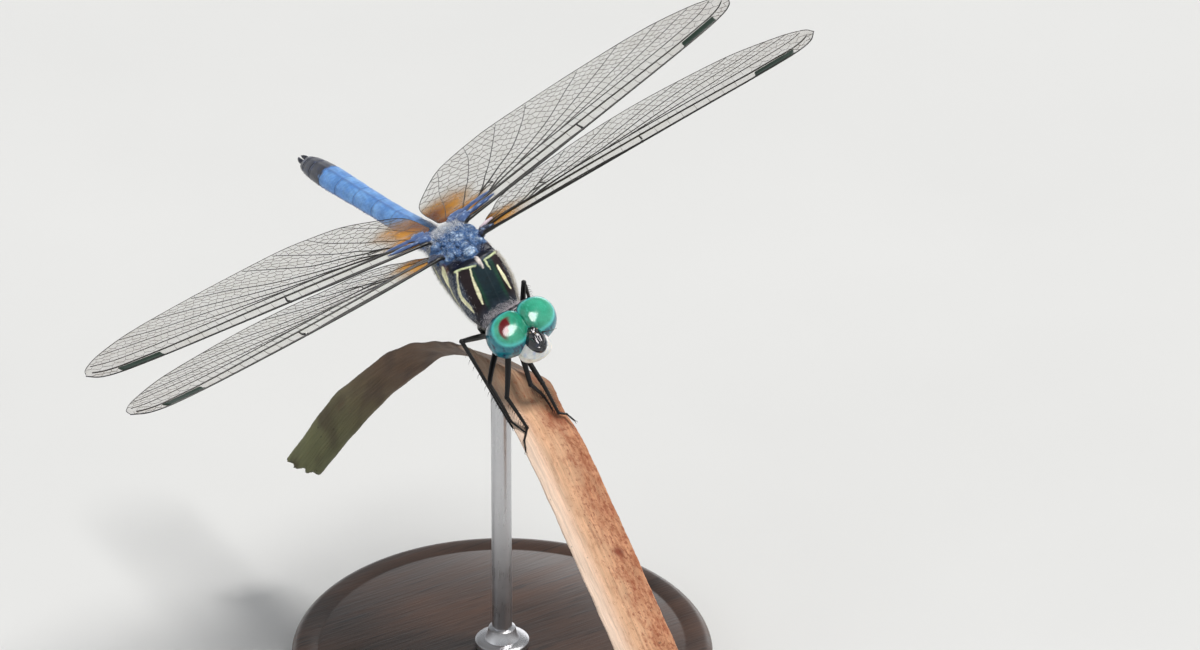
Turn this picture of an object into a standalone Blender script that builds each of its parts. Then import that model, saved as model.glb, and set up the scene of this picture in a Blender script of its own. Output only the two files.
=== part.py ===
"""Blue dasher dragonfly, life size, gripping a short length of bent dry grass blade on a display stand.

The animal faces -Y and its left side is +X. The origin is the centre of the stand's underside.
Lengths in this file are millimetres until they reach a mesh, which holds metres.
Body places are written as (left, forward, up) in the body's own leaning axes.
"""
import math

import bmesh
import bpy
from mathutils import Vector

METRES = 0.001
GAP = 0.3                      # clearance kept between neighbouring solids

# Attitude of the body, degrees: the left side is raised, the thorax noses down, the abdomen trails down.
ROLL = 15.0
THORAX_PITCH = -13.5
WING_PITCH = 12.7
ABDOMEN_PITCH = 8.8

# The point midway between the forewing bases, measured from the centre of the stand's underside.
WING_POINT = Vector((-2.7, 1.45, 42.5))

# Stand
BASE_RADIUS = 18.0
BASE_THICKNESS = 3.0
BASE_CHAMFER = 0.6
ROD_RADIUS = 0.9
ROD_FOOT = Vector((0.0, 0.0, BASE_THICKNESS + GAP))
ROD_TOP = 29.6

# Head, about the midpoint of the eyes
HEAD_PLACE = (0.0, 8.0, -3.4)
EYE_CENTRE = (1.55, -0.05, 0.1)
EYE_SEMI_AXES = (1.65, 1.75, 2.15)
CAPSULE_CENTRE = (0.0, -0.45, -0.2)
CAPSULE_SEMI_AXES = (1.15, 1.15, 1.7)
FACE_BACK = 1.0
FACE_SPLIT = -0.5
# Height, half width and depth of the face's upper and lower parts, from the vertex down to the lip
FRONS = ((1.42, 0.28, 0.38), (1.2, 0.48, 0.72), (0.95, 0.66, 1.05), (0.65, 0.82, 1.36), (0.3, 0.93, 1.58),
         (-0.05, 0.96, 1.62), (FACE_SPLIT + GAP / 2, 0.95, 1.58))
LABRUM = ((FACE_SPLIT - GAP / 2, 1.25, 1.52), (-1.0, 1.38, 1.45), (-1.4, 1.32, 1.25), (-1.8, 1.08, 0.95),
          (-2.05, 0.7, 0.6))
ANTENNA = ((0.62, 2.35, 1.5), (0.85, 2.9, 1.95), (1.15, 3.5, 2.5))
ANTENNA_RADII = (0.27, 0.25, 0.25)

# Thorax and prothorax stations: forward place, top, bottom, half width
PROTHORAX = ((5.45, -3.75, -5.4, 1.1), (5.75, -3.6, -5.55, 1.3), (6.05, -3.85, -5.3, 1.0))
THORAX = (
    (-4.0, -2.3, -4.9, 1.05),
    (-3.7, -1.7, -5.3, 1.6),
    (-3.1, -0.8, -5.8, 2.1),
    (-2.3, -0.1, -6.25, 2.45),
    (-1.2, 0.25, -6.7, 2.7),
    (0.0, 0.3, -7.0, 2.8),
    (1.2, 0.15, -7.2, 2.85),
    (2.2, -0.2, -7.2, 2.85),
    (3.0, -1.15, -7.05, 2.8),
    (3.8, -2.2, -6.8, 2.55),
    (4.6, -3.3, -6.4, 2.1),
    (5.15, -4.1, -5.85, 1.35),
)

# Abdomen: where its axis starts on the thorax, then length, half width and half height of each segment
ABDOMEN_PLACE = (0.0, -4.0, -3.6)
ABDOMEN_START = 0.75
SEGMENTS = (
    (0.95, 1.08, 1.08),
    (1.95, 1.14, 1.12),
    (3.3, 1.06, 0.92),
    (3.3, 1.05, 0.84),
    (3.2, 1.08, 0.84),
    (3.1, 1.14, 0.88),
    (2.8, 1.17, 0.91),
    (2.0, 1.08, 0.84),
    (1.3, 0.93, 0.72),
    (0.8, 0.72, 0.54),
)
SEGMENT_FRONT_END = (1.0, 1.0)
CERCUS_LENGTH = 1.6
CERCUS_SPACING = 0.36

# Wings: base from the wing point along the thorax's axes, length, and angles about the wings' own axes
FORE_BASE = (2.25, 0.0, 0.0)
HIND_BASE = (2.15, -2.3, -0.3)
FORE_LENGTH = 32.25
HIND_LENGTH = 31.0
WING_THICKNESS = 0.5
# name: (sweep forward, raise, lift of the tip in mm, nose-up twist)
WING_SET = {
    "wing_fore_left": (12.9, 6.3, -0.55, 4.0),
    "wing_fore_right": (12.7, 6.5, 0.9, 4.0),
    "wing_hind_left": (-4.5, 6.0, 0.0, 0.0),
    "wing_hind_right": (-4.1, 6.0, 0.0, 0.0),
}
# Outlines as (fraction of length, distance behind the leading edge line in mm), base to tip
FORE_LEAD = ((0.0, 0.1), (0.1, -0.05), (0.28, -0.15), (0.466, -0.1), (0.66, 0.0),
             (0.806, 0.1), (0.92, 0.4), (0.975, 1.15), (1.0, 2.6))
FORE_TRAIL = ((0.0, 1.25), (0.045, 3.2), (0.12, 5.6), (0.28, 6.8), (0.45, 7.25),
              (0.62, 7.45), (0.78, 7.1), (0.91, 5.7), (0.98, 4.0))
HIND_LEAD = ((0.0, 0.1), (0.1, 0.0), (0.25, -0.05), (0.414, 0.0), (0.62, 0.05),
             (0.794, 0.15), (0.915, 0.45), (0.972, 1.1), (1.0, 2.4))
HIND_TRAIL = ((0.0, 2.6), (0.02, 7.2), (0.11, 10.2), (0.26, 10.6), (0.42, 10.0),
              (0.6, 9.1), (0.77, 7.8), (0.905, 6.0), (0.98, 3.9))
WING_STATIONS = 26

# Legs: points from coxa to claw. Thickness is twice the radius.
COXA_RADIUS = 0.42
FEMUR_RADIUS = 0.3
SHIN_RADIUS = 0.25
LEGS = {
    "leg_hind_right": ((-1.05, 3.1, -7.3), (-1.0, 3.5, -7.85), (-4.68, 5.9, -3.5), (-3.25, 7.8, -11.25),
                       (-3.2, 8.75, -12.2)),
    "leg_mid_right": ((-0.75, 4.6, -6.9), (-0.85, 5.1, -7.55), (-3.95, 8.25, -7.4), (-3.0, 9.45, -11.65),
                      (-2.6, 9.9, -12.6)),
    "leg_fore_right": ((-0.6, 5.8, -6.0), (-0.6, 6.4, -6.75), (-2.4, 8.1, -10.5), (-1.7, 10.05, -13.2),
                       (-2.7, 10.8, -13.8)),
    "leg_fore_left": ((0.85, 5.5, -6.3), (1.6, 5.6, -6.2), (2.2, 5.45, -1.45), (2.65, 5.25, -1.9),
                      (2.75, 5.05, -4.7), (2.6, 5.25, -6.3)),
    "leg_mid_left": ((1.0, 4.5, -7.0), (1.0, 5.0, -7.6), (-0.15, 7.4, -8.1), (0.13, 7.9, -10.95),
                     (0.62, 9.3, -12.5), (0.62, 9.7, -12.95)),
    "leg_hind_left": ((1.05, 3.1, -7.3), (1.2, 3.45, -8.6), (0.95, 6.6, -9.0), (1.25, 7.95, -11.55),
                      (1.55, 10.15, -13.5), (1.95, 10.9, -14.1)),
}

# Grass blade: matching points on its two long edges, from the wing point, along the stand's own axes
BLADE_THICKNESS = 0.6
BLADE_CUP = 0.35
BLADE_FRONT = (
    ((4.3, -18.0, -33.5), (9.6, -19.6, -34.5)),
    ((1.8, -7.6, -17.9), (7.1, -9.1, -18.9)),
    ((0.7, -4.3, -13.6), (6.1, -5.9, -14.9)),
    ((-0.3, -1.45, -10.0), (5.85, -4.85, -13.4)),
)
BLADE_REAR = (
    ((-0.4, -0.3, -9.5), (5.7, -3.4, -13.1)),
    ((-0.2, 2.6, -10.7), (4.9, 1.6, -13.4)),
    ((0.0, 5.4, -12.1), (3.6, 5.4, -14.1)),
    ((-0.3, 7.9, -13.4), (2.85, 8.2, -15.75)),
    ((-1.3, 10.7, -15.6), (1.5, 10.8, -18.7)),
    ((-2.3, 13.3, -18.5), (0.6, 12.9, -21.2)),
    ((-3.6, 16.0, -22.0), (-0.8, 15.4, -24.9)),
    ((-6.1, 19.2, -28.7), (-2.95, 18.5, -30.5)),
)

# Colours, as the parts' base colour, roughness and metallic value
FINISHES = {
    "eye": ((0.05, 0.42, 0.34, 1.0), 0.15, 0.0),
    "face_white": ((0.72, 0.74, 0.72, 1.0), 0.35, 0.0),
    "head_black": ((0.012, 0.016, 0.02, 1.0), 0.15, 0.0),
    "thorax": ((0.02, 0.035, 0.035, 1.0), 0.4, 0.0),
    "abdomen_blue": ((0.16, 0.33, 0.62, 1.0), 0.55, 0.0),
    "abdomen_black": ((0.02, 0.03, 0.07, 1.0), 0.45, 0.0),
    "wing": ((0.55, 0.5, 0.38, 1.0), 0.25, 0.0),
    "leg": ((0.01, 0.01, 0.012, 1.0), 0.35, 0.0),
    "dry_grass": ((0.62, 0.4, 0.25, 1.0), 0.75, 0.0),
    "stand_wood": ((0.05, 0.035, 0.028, 1.0), 0.4, 0.0),
    "stand_steel": ((0.6, 0.6, 0.62, 1.0), 0.3, 1.0),
}


class Axes:
    """A place with left, forward and up directions; at() turns body coordinates into stand coordinates."""

    def __init__(self, origin, left, forward, up):
        self.origin = origin
        self.left = left
        self.forward = forward
        self.up = up

    def at(self, left, forward, up):
        return self.origin + self.left * left + self.forward * forward + self.up * up

    def moved(self, place):
        return Axes(self.at(*place), self.left, self.forward, self.up)


def body_axes(origin, pitch_degrees):
    """Axes of a body part that faces -Y, rolled by ROLL and pitched about its own left-right line."""
    roll = math.radians(ROLL)
    pitch = math.radians(pitch_degrees)
    left = Vector((math.cos(roll), 0.0, math.sin(roll)))
    level = Vector((0.0, -1.0, 0.0))
    above = Vector((-math.sin(roll), 0.0, math.cos(roll)))
    forward = level * math.cos(pitch) + above * math.sin(pitch)
    up = above * math.cos(pitch) - level * math.sin(pitch)
    return Axes(origin, left, forward, up)


def clear_scene():
    for old in list(bpy.data.objects):
        bpy.data.objects.remove(old, do_unlink=True)


def finish(name):
    """The Principled material of that name, made once."""
    material = bpy.data.materials.get(name)
    if material is None:
        colour, roughness, metallic = FINISHES[name]
        material = bpy.data.materials.new(name)
        material.use_nodes = True
        shader = material.node_tree.nodes["Principled BSDF"]
        shader.inputs["Base Color"].default_value = colour
        shader.inputs["Roughness"].default_value = roughness
        shader.inputs["Metallic"].default_value = metallic
        material.diffuse_color = colour
    return material


def solid(name, points, faces, finish_name, crease_degrees=40.0):
    """One named object from points in millimetres and faces, with its faces turned outwards."""
    mesh = bpy.data.meshes.new(name)
    mesh.from_pydata([Vector(point) * METRES for point in points], [], faces)
    work = bmesh.new()
    work.from_mesh(mesh)
    bmesh.ops.recalc_face_normals(work, faces=work.faces)
    if work.calc_volume(signed=True) < 0:
        bmesh.ops.reverse_faces(work, faces=work.faces)
    work.to_mesh(mesh)
    work.free()
    mesh.materials.append(finish(finish_name))
    mesh.shade_smooth()
    mesh.set_sharp_from_angle(angle=math.radians(crease_degrees))
    thing = bpy.data.objects.new(name, mesh)
    bpy.context.scene.collection.objects.link(thing)
    return thing


def loft(rings):
    """Points and faces of a closed body through rings with equal point counts, with fan caps."""
    count = len(rings[0])
    points = [point for ring in rings for point in ring]
    faces = []
    for row in range(len(rings) - 1):
        for k in range(count):
            after = (k + 1) % count
            low = row * count
            faces.append((low + k, low + after, low + count + after, low + count + k))
    for row in (0, len(rings) - 1):
        centre = sum(rings[row], Vector()) / count
        points.append(centre)
        hub = len(points) - 1
        for k in range(count):
            faces.append((row * count + k, row * count + (k + 1) % count, hub))
    return points, faces


def oval_ring(axes, forward, top, bottom, half_width, sides, fullness=2.0, taper=0.0):
    """Closed ring across the body; fullness above 2 boxes the upper half, taper narrows it downwards."""
    middle = (top + bottom) / 2
    half_height = (top - bottom) / 2
    ring = []
    for k in range(sides):
        angle = math.tau * k / sides
        across = math.sin(angle)
        along = math.cos(angle)
        power = 2.0 / fullness if along > 0 else 1.0
        side = math.copysign(abs(across) ** power, across)
        height = math.copysign(abs(along) ** power, along)
        width = half_width * (1.0 - taper * (1.0 - height) / 2)
        ring.append(axes.at(width * side, forward, middle + half_height * height))
    return ring


def ellipsoid(axes, semi_axes, start=-1.0, rings=14, sides=22):
    """Ellipsoid built along its left axis, from the plane left = start out to the pole on the left."""
    side_axis, front_axis, up_axis = semi_axes
    first = math.acos(max(-1.0, min(1.0, start / side_axis)))
    stack = []
    for row in range(rings):
        angle = first * (1 - row / rings)
        radius = math.sin(angle)
        stack.append([
            axes.at(
                side_axis * math.cos(angle),
                front_axis * radius * math.cos(math.tau * k / sides),
                up_axis * radius * math.sin(math.tau * k / sides),
            )
            for k in range(sides)
        ])
    points, faces = loft(stack)
    points[-1] = axes.at(side_axis, 0.0, 0.0)
    return points, faces


def spline(points, per_span):
    """Smooth curve through points (Catmull-Rom), with per_span steps between neighbours."""
    points = [Vector(point) for point in points]
    ends = [points[0] * 2 - points[1]] + points + [points[-1] * 2 - points[-2]]
    curve = []
    for i in range(1, len(ends) - 2):
        before, here, there, beyond = ends[i - 1:i + 3]
        for step in range(per_span):
            t = step / per_span
            curve.append(0.5 * (
                here * 2
                + (there - before) * t
                + (before * 2 - here * 5 + there * 4 - beyond) * t ** 2
                + (here * 3 - before - there * 3 + beyond) * t ** 3
            ))
    curve.append(points[-1])
    return curve


def rounded_route(points, bend):
    """The polyline with each corner replaced by a three-point arc of about that size."""
    points = [Vector(point) for point in points]
    route = [points[0]]
    for before, corner, after in zip(points, points[1:], points[2:]):
        back = before - corner
        ahead = after - corner
        reach = min(bend, back.length * 0.45, ahead.length * 0.45)
        start = corner + back.normalized() * reach
        end = corner + ahead.normalized() * reach
        route += [start, (start + end + corner * 2) / 4, end]
    route.append(points[-1])
    return route


def tube(route, radii, sides=8):
    """Closed tube along a route, with one radius for each point."""
    directions = []
    for i, point in enumerate(route):
        before = route[max(i - 1, 0)]
        after = route[min(i + 1, len(route) - 1)]
        directions.append((after - before).normalized())
    normal = directions[0].orthogonal().normalized()
    rings = []
    for point, direction, radius in zip(route, directions, radii):
        normal = (normal - direction * normal.dot(direction)).normalized()
        side = direction.cross(normal)
        rings.append([
            point + (normal * math.cos(math.tau * k / sides) + side * math.sin(math.tau * k / sides)) * radius
            for k in range(sides)
        ])
    return loft(rings)


def make_stand():
    base_rings = []
    profile = (
        (0.0, BASE_RADIUS),
        (BASE_THICKNESS - BASE_CHAMFER, BASE_RADIUS),
        (BASE_THICKNESS, BASE_RADIUS - BASE_CHAMFER),
    )
    for height, radius in profile:
        base_rings.append([
            Vector((radius * math.cos(math.tau * k / 64), radius * math.sin(math.tau * k / 64), height))
            for k in range(64)
        ])
    solid("stand_base", *loft(base_rings), "stand_wood", 25.0)

    # The rod's top is cut to the slope of the blade's underside, just behind the fold.
    slope_across = -0.5
    slope_back = -0.2
    rod_rings = []
    for end in (0, 1):
        ring = []
        for k in range(16):
            across = ROD_RADIUS * math.cos(math.tau * k / 16)
            back = ROD_RADIUS * math.sin(math.tau * k / 16)
            height = ROD_FOOT.z if end == 0 else ROD_TOP + slope_across * across + slope_back * back
            ring.append(Vector((ROD_FOOT.x + across, ROD_FOOT.y + back, height)))
        rod_rings.append(ring)
    solid("stand_rod", *loft(rod_rings), "stand_steel")


def blade_body(stations):
    """Closed thin strip between two edge curves, cupped a little across its width."""
    left_edge = spline([WING_POINT + Vector(left) for left, right in stations], 4)
    right_edge = spline([WING_POINT + Vector(right) for left, right in stations], 4)
    across = (0.0, 0.25, 0.5, 0.75, 1.0)
    rings = []
    for i, (left, right) in enumerate(zip(left_edge, right_edge)):
        before = max(i - 1, 0)
        after = min(i + 1, len(left_edge) - 1)
        along = (left_edge[after] + right_edge[after]) - (left_edge[before] + right_edge[before])
        normal = (right - left).cross(along).normalized()
        upper = []
        lower = []
        for t in across:
            # The middle rib hangs below the edges by the cup's depth.
            point = left.lerp(right, t) - normal * (BLADE_CUP * 4 * t * (1 - t))
            edge_thin = 0.35 + 0.65 * (4 * t * (1 - t)) ** 0.5
            half = BLADE_THICKNESS / 2 * max(edge_thin, 0.84)
            upper.append(point + normal * half)
            lower.append(point - normal * half)
        rings.append(upper + lower[::-1])
    return loft(rings)


def make_perch():
    solid("perch_front", *blade_body(BLADE_FRONT), "dry_grass")
    solid("perch_rear", *blade_body(BLADE_REAR), "dry_grass")


def d_ring(axes, height, half_width, depth, sides=12):
    """Ring level with the mouth: a flat back at FACE_BACK and a rounded front."""
    ring = []
    for k in range(sides + 1):
        angle = math.pi * k / sides
        ring.append(axes.at(half_width * math.cos(angle), FACE_BACK + depth * math.sin(angle), height))
    return ring


def make_head(thorax):
    head = thorax.moved(HEAD_PLACE)
    capsule = head.moved(CAPSULE_CENTRE)
    solid("head", *ellipsoid(capsule, CAPSULE_SEMI_AXES, -CAPSULE_SEMI_AXES[0]), "head_black")

    solid("frons", *loft([d_ring(head, *row) for row in FRONS]), "head_black")
    solid("labrum", *loft([d_ring(head, *row) for row in LABRUM]), "face_white")

    # Cutters that keep the eyes clear of the face and of the head capsule
    room = GAP * 1.6
    top, bottom = FRONS[0], LABRUM[-1]
    swollen = [(top[0] + room, top[1] + room, top[2] + room)]
    swollen += [(height, width + room, depth + room) for height, width, depth in FRONS[1:-1] + LABRUM]
    swollen += [(bottom[0] - room, bottom[1] + room, bottom[2] + room)]
    rear = head.moved((0.0, -room, 0.0))
    face_cutter = solid("face_cutter", *loft([d_ring(rear, *row) for row in swollen]), "face_white")
    grown = [length + GAP for length in CAPSULE_SEMI_AXES]
    capsule_cutter = solid("capsule_cutter", *ellipsoid(capsule, grown, -grown[0]), "head_black")
    for cutter in (face_cutter, capsule_cutter):
        cutter.hide_render = True
        cutter.display_type = "WIRE"

    for name, side in (("eye_left", 1), ("eye_right", -1)):
        across, front, up = EYE_CENTRE
        socket = head.moved((side * across, front, up))
        mirrored = Axes(socket.origin, socket.left * side, socket.forward, socket.up)
        inner_plane = GAP / 2 - across
        eye = solid(name, *ellipsoid(mirrored, EYE_SEMI_AXES, inner_plane), "eye")
        for cutter in (face_cutter, capsule_cutter):
            cut = eye.modifiers.new("clear_" + cutter.name, "BOOLEAN")
            cut.operation = "DIFFERENCE"
            cut.solver = "EXACT"
            cut.object = cutter

    for name, side in (("antenna_left", 1), ("antenna_right", -1)):
        route = [head.at(side * across, front, up) for across, front, up in ANTENNA]
        solid(name, *tube(route, ANTENNA_RADII, 6), "head_black")


def make_thorax(thorax):
    for name, stations in (("prothorax", PROTHORAX), ("thorax", THORAX)):
        rings = [oval_ring(thorax, *station, sides=24, fullness=2.5, taper=0.3) for station in stations]
        solid(name, *loft(rings), "thorax")


def make_abdomen(thorax, axes):
    axis = Axes(thorax.at(*ABDOMEN_PLACE), axes.left, axes.forward, axes.up)
    front_width, front_height = SEGMENT_FRONT_END
    place = ABDOMEN_START
    for number, (length, width, height) in enumerate(SEGMENTS, 1):
        start = place
        end = place + length - GAP
        mid_width = (front_width + width) / 2 * 1.01
        mid_height = (front_height + height) / 2 * 1.01
        rings = [
            oval_ring(axis, -start, front_height, -front_height, front_width, 20),
            oval_ring(axis, -(start + end) / 2, mid_height, -mid_height, mid_width, 20),
            oval_ring(axis, -end, height, -height, width, 20),
        ]
        finish_name = "abdomen_blue" if number < 8 else "abdomen_black"
        solid("abdomen_" + str(number), *loft(rings), finish_name)
        front_width, front_height = width, height
        place += length
    for name, side in (("cercus_left", 1), ("cercus_right", -1)):
        route = [
            axis.at(side * CERCUS_SPACING, -place, 0.1),
            axis.at(side * (CERCUS_SPACING + 0.1), -place - CERCUS_LENGTH * 0.55, 0.16),
            axis.at(side * CERCUS_SPACING, -place - CERCUS_LENGTH, 0.3),
        ]
        solid(name, *tube(route, (0.25, 0.27, 0.25), 8), "abdomen_black")


def wing_body(base, length, lead, trail, axes, side, setting):
    """Thin plate between the leading and the trailing edge, meeting at the tip."""
    sweep, rise, lift, twist = setting
    sweep = math.radians(sweep)
    rise = math.radians(rise)
    flat_span = axes.left * (side * math.cos(sweep)) + axes.forward * math.sin(sweep)
    span = flat_span * math.cos(rise) + axes.up * math.sin(rise)
    chord = (span * span.dot(axes.forward) - axes.forward).normalized()
    upward = chord.cross(span) * side
    upward = upward if upward.dot(axes.up) > 0 else -upward
    chord = (chord * math.cos(math.radians(twist)) - upward * math.sin(math.radians(twist))).normalized()
    normal = (span.cross(chord)).normalized()
    normal = normal if normal.dot(axes.up) > 0 else -normal

    def place(fraction, behind):
        return base + span * (length * fraction) + chord * behind + axes.up * (lift * fraction ** 2)

    per_span = 4
    front = [place(p.x, p.y) for p in spline([(f, c, 0.0) for f, c in lead], per_span)]
    rear = [place(p.x, p.y) for p in spline([(f, c, 0.0) for f, c in trail + (lead[-1],)], per_span)]
    steps = WING_STATIONS
    front_line = [front[round(i * (len(front) - 1) / steps)] for i in range(steps + 1)]
    rear_line = [rear[round(i * (len(rear) - 1) / steps)] for i in range(steps + 1)]
    half = normal * (WING_THICKNESS / 2)
    points = []
    for ahead, behind in zip(front_line[:-1], rear_line[:-1]):
        points += [ahead + half, behind + half, behind - half, ahead - half]
    tip = len(points)
    points += [front_line[-1] + half, front_line[-1] - half]
    faces = [(0, 1, 2, 3)]
    for i in range(steps - 1):
        a = 4 * i
        b = a + 4
        faces += [(a, a + 1, b + 1, b), (a + 1, a + 2, b + 2, b + 1),
                  (a + 2, a + 3, b + 3, b + 2), (a + 3, a, b, b + 3)]
    last = 4 * (steps - 1)
    faces += [(last, last + 1, tip), (last + 1, last + 2, tip + 1, tip),
              (last + 2, last + 3, tip + 1), (last + 3, last, tip, tip + 1)]
    return points, faces


def make_wings(thorax, axes):
    pairs = (
        ("wing_fore_", FORE_BASE, FORE_LENGTH, FORE_LEAD, FORE_TRAIL),
        ("wing_hind_", HIND_BASE, HIND_LENGTH, HIND_LEAD, HIND_TRAIL),
    )
    for stem, (across, forward, up), length, lead, trail in pairs:
        for side_name, side in (("left", 1), ("right", -1)):
            name = stem + side_name
            base = thorax.at(side * across, forward, up)
            solid(name, *wing_body(base, length, lead, trail, axes, side, WING_SET[name]), "wing")


def make_legs(thorax):
    for name, joints in LEGS.items():
        route = rounded_route([thorax.at(*joint) for joint in joints], 0.35)
        count = len(route)
        radii = []
        for i in range(count):
            if i == 0:
                radii.append(COXA_RADIUS)
            elif i < 5:
                radii.append(FEMUR_RADIUS)
            else:
                radii.append(SHIN_RADIUS)
        solid(name, *tube(route, radii), "leg")


def main():
    clear_scene()
    thorax = body_axes(WING_POINT, THORAX_PITCH)
    abdomen = body_axes(WING_POINT, ABDOMEN_PITCH)
    wings = body_axes(WING_POINT, WING_PITCH)
    make_stand()
    make_perch()
    make_head(thorax)
    make_thorax(thorax)
    make_abdomen(thorax, abdomen)
    make_wings(thorax, wings)
    make_legs(thorax)


main()
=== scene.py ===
import math

import bmesh
import bpy
import numpy as np
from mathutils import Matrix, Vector
from mathutils.geometry import delaunay_2d_cdt


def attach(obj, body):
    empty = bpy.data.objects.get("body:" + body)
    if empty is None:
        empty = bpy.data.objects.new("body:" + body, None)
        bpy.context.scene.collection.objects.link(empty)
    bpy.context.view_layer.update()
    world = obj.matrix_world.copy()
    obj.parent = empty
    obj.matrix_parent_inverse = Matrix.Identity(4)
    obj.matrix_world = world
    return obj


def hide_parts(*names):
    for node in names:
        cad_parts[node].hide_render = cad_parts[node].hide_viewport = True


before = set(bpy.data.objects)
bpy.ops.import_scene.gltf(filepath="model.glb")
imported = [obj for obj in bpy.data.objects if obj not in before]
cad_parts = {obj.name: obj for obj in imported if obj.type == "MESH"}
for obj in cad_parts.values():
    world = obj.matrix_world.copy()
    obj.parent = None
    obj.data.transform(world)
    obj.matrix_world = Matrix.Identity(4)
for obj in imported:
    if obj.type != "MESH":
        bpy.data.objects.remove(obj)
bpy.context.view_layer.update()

MM = 0.001
SEED = 20

# ---------------------------------------------------------------- shared sizes, as in the CAD
ROLL = 15.0
THORAX_PITCH = -13.5
WING_PITCH = 12.7
ABDOMEN_PITCH = 8.8
WING_POINT = np.array((-2.7, 1.45, 42.5))
HEAD_PLACE = (0.0, 8.0, -3.4)
ABDOMEN_PLACE = (0.0, -4.0, -3.6)


class Axes:
    """A place with left, forward and up directions; at() turns body places into stand places."""

    def __init__(self, origin, left=(1.0, 0.0, 0.0), forward=(0.0, 1.0, 0.0), up=(0.0, 0.0, 1.0)):
        self.origin = np.asarray(origin, float)
        self.frame = np.array((left, forward, up), float)

    def at(self, places):
        return self.origin + np.asarray(places, float) @ self.frame

    def moved(self, place):
        return Axes(self.at(place), *self.frame)


def body_axes(origin, pitch_degrees):
    roll = math.radians(ROLL)
    pitch = math.radians(pitch_degrees)
    left = np.array((math.cos(roll), 0.0, math.sin(roll)))
    level = np.array((0.0, -1.0, 0.0))
    above = np.array((-math.sin(roll), 0.0, math.cos(roll)))
    forward = level * math.cos(pitch) + above * math.sin(pitch)
    up = above * math.cos(pitch) - level * math.sin(pitch)
    return Axes(origin, left, forward, up)


THORAX_AXES = body_axes(WING_POINT, THORAX_PITCH)
HEAD_AXES = THORAX_AXES.moved(HEAD_PLACE)
WING_AXES = body_axes(WING_POINT, WING_PITCH)
ABDOMEN_AXES = body_axes(THORAX_AXES.at(ABDOMEN_PLACE), ABDOMEN_PITCH)


# ---------------------------------------------------------------- small mathematics
def rgb(red, green, blue, rough=0.5):
    """Linear colour from screen values of 0 to 255, with the roughness, opacity or wear as fourth number."""
    linear = [((c / 255 + 0.055) / 1.055) ** 2.4 if c > 10 else c / 255 / 12.92 for c in (red, green, blue)]
    return np.array((*linear, rough))


def smooth(value, low, high):
    """0 below low, 1 above high, and a soft step between."""
    t = np.clip((value - low) / (high - low), 0.0, 1.0)
    return t * t * (3 - 2 * t)


def within(value, low, full, ebb, high):
    """0 below low and above high, 1 from full to ebb, and soft steps between."""
    return smooth(value, low, full) * (1 - smooth(value, ebb, high))


def bell(value, width):
    """A hump that is 1 where value is 0 and has faded a width away."""
    return np.exp(-(value / width) ** 2)


def blend(under, over, share):
    """Turns the first colour to the second by a share for each place."""
    return under + (over - under) * np.asarray(share)[..., None]


def waves(places, size, seed, count=7):
    """Soft noise between about -1 and 1, with lumps of about that size in mm."""
    draw = np.random.default_rng(seed)
    total = 0.0
    for _ in range(count):
        direction = draw.normal(size=3)
        direction /= np.linalg.norm(direction)
        pace = math.tau / size * draw.uniform(0.6, 1.6)
        total = total + np.sin(places @ direction * pace + draw.uniform(0, math.tau))
    return total / count * 1.8


def unit(vectors):
    return vectors / np.linalg.norm(vectors, axis=-1)[..., None]


def circle(count):
    return np.arange(count) * math.tau / count


def stops(count, at, values):
    """The values at even steps from 0 to 1, from a few stops."""
    return np.interp(np.linspace(0, 1, count), at, values)


def running(points):
    """How far along a line each of its points is, in mm."""
    return np.concatenate(((0.0,), np.cumsum(np.linalg.norm(np.diff(points, axis=0), axis=1))))


def columnwise(wanted, known, table):
    return np.stack([np.interp(wanted, known, table[:, k]) for k in range(table.shape[1])], axis=1)


def spline(points, per_span):
    """Curve through the points, with per_span steps from each to the next."""
    points = np.asarray(points, float)
    ends = np.vstack((points[0] * 2 - points[1], points, points[-1] * 2 - points[-2]))
    curve = []
    for i in range(1, len(ends) - 2):
        before, here, there, beyond = ends[i - 1:i + 3]
        for t in np.arange(per_span) / per_span:
            curve.append(0.5 * (here * 2 + (there - before) * t
                                + (before * 2 - here * 5 + there * 4 - beyond) * t ** 2
                                + (here * 3 - before - there * 3 + beyond) * t ** 3))
    curve.append(points[-1])
    return np.array(curve)


def resample(curve, count):
    run = running(curve)
    return columnwise(np.linspace(0, run[-1], count), run, curve)


def line_distance(places, line):
    """Distance of each place to a bent line, and how far along the line it is, from 0 to 1."""
    line = np.asarray(line, float)
    best = np.full(len(places), np.inf)
    share = np.zeros(len(places))
    spans = len(line) - 1
    for i in range(spans):
        start, step = line[i], line[i + 1] - line[i]
        t = np.clip((places - start) @ step / max(step @ step, 1e-12), 0, 1)
        gap = np.linalg.norm(places - start - t[:, None] * step, axis=1)
        nearer = gap < best
        best = np.where(nearer, gap, best)
        share = np.where(nearer, (i + t) / spans, share)
    return best, share


# ---------------------------------------------------------------- meshes
class Heap:
    """Points, faces, tints and unwrap places gathered from the bodies that make one piece."""

    def __init__(self):
        self.points, self.faces, self.tints, self.unwraps = [], [], [], []
        self.count = 0

    def add(self, points, faces, tint, unwrap=None):
        self.points.append(points)
        self.faces += [[k + self.count for k in face] for face in faces]
        self.tints.append(np.broadcast_to(tint, (len(points), 4)))
        if unwrap is not None:
            self.unwraps.append(unwrap)
        self.count += len(points)


def placed(name, data):
    thing = bpy.data.objects.new(name, data)
    bpy.context.scene.collection.objects.link(thing)
    return thing


EYES = ("eye_left_globe", "eye_right_globe")
SHINY = EYES + ("face_frons",)


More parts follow.
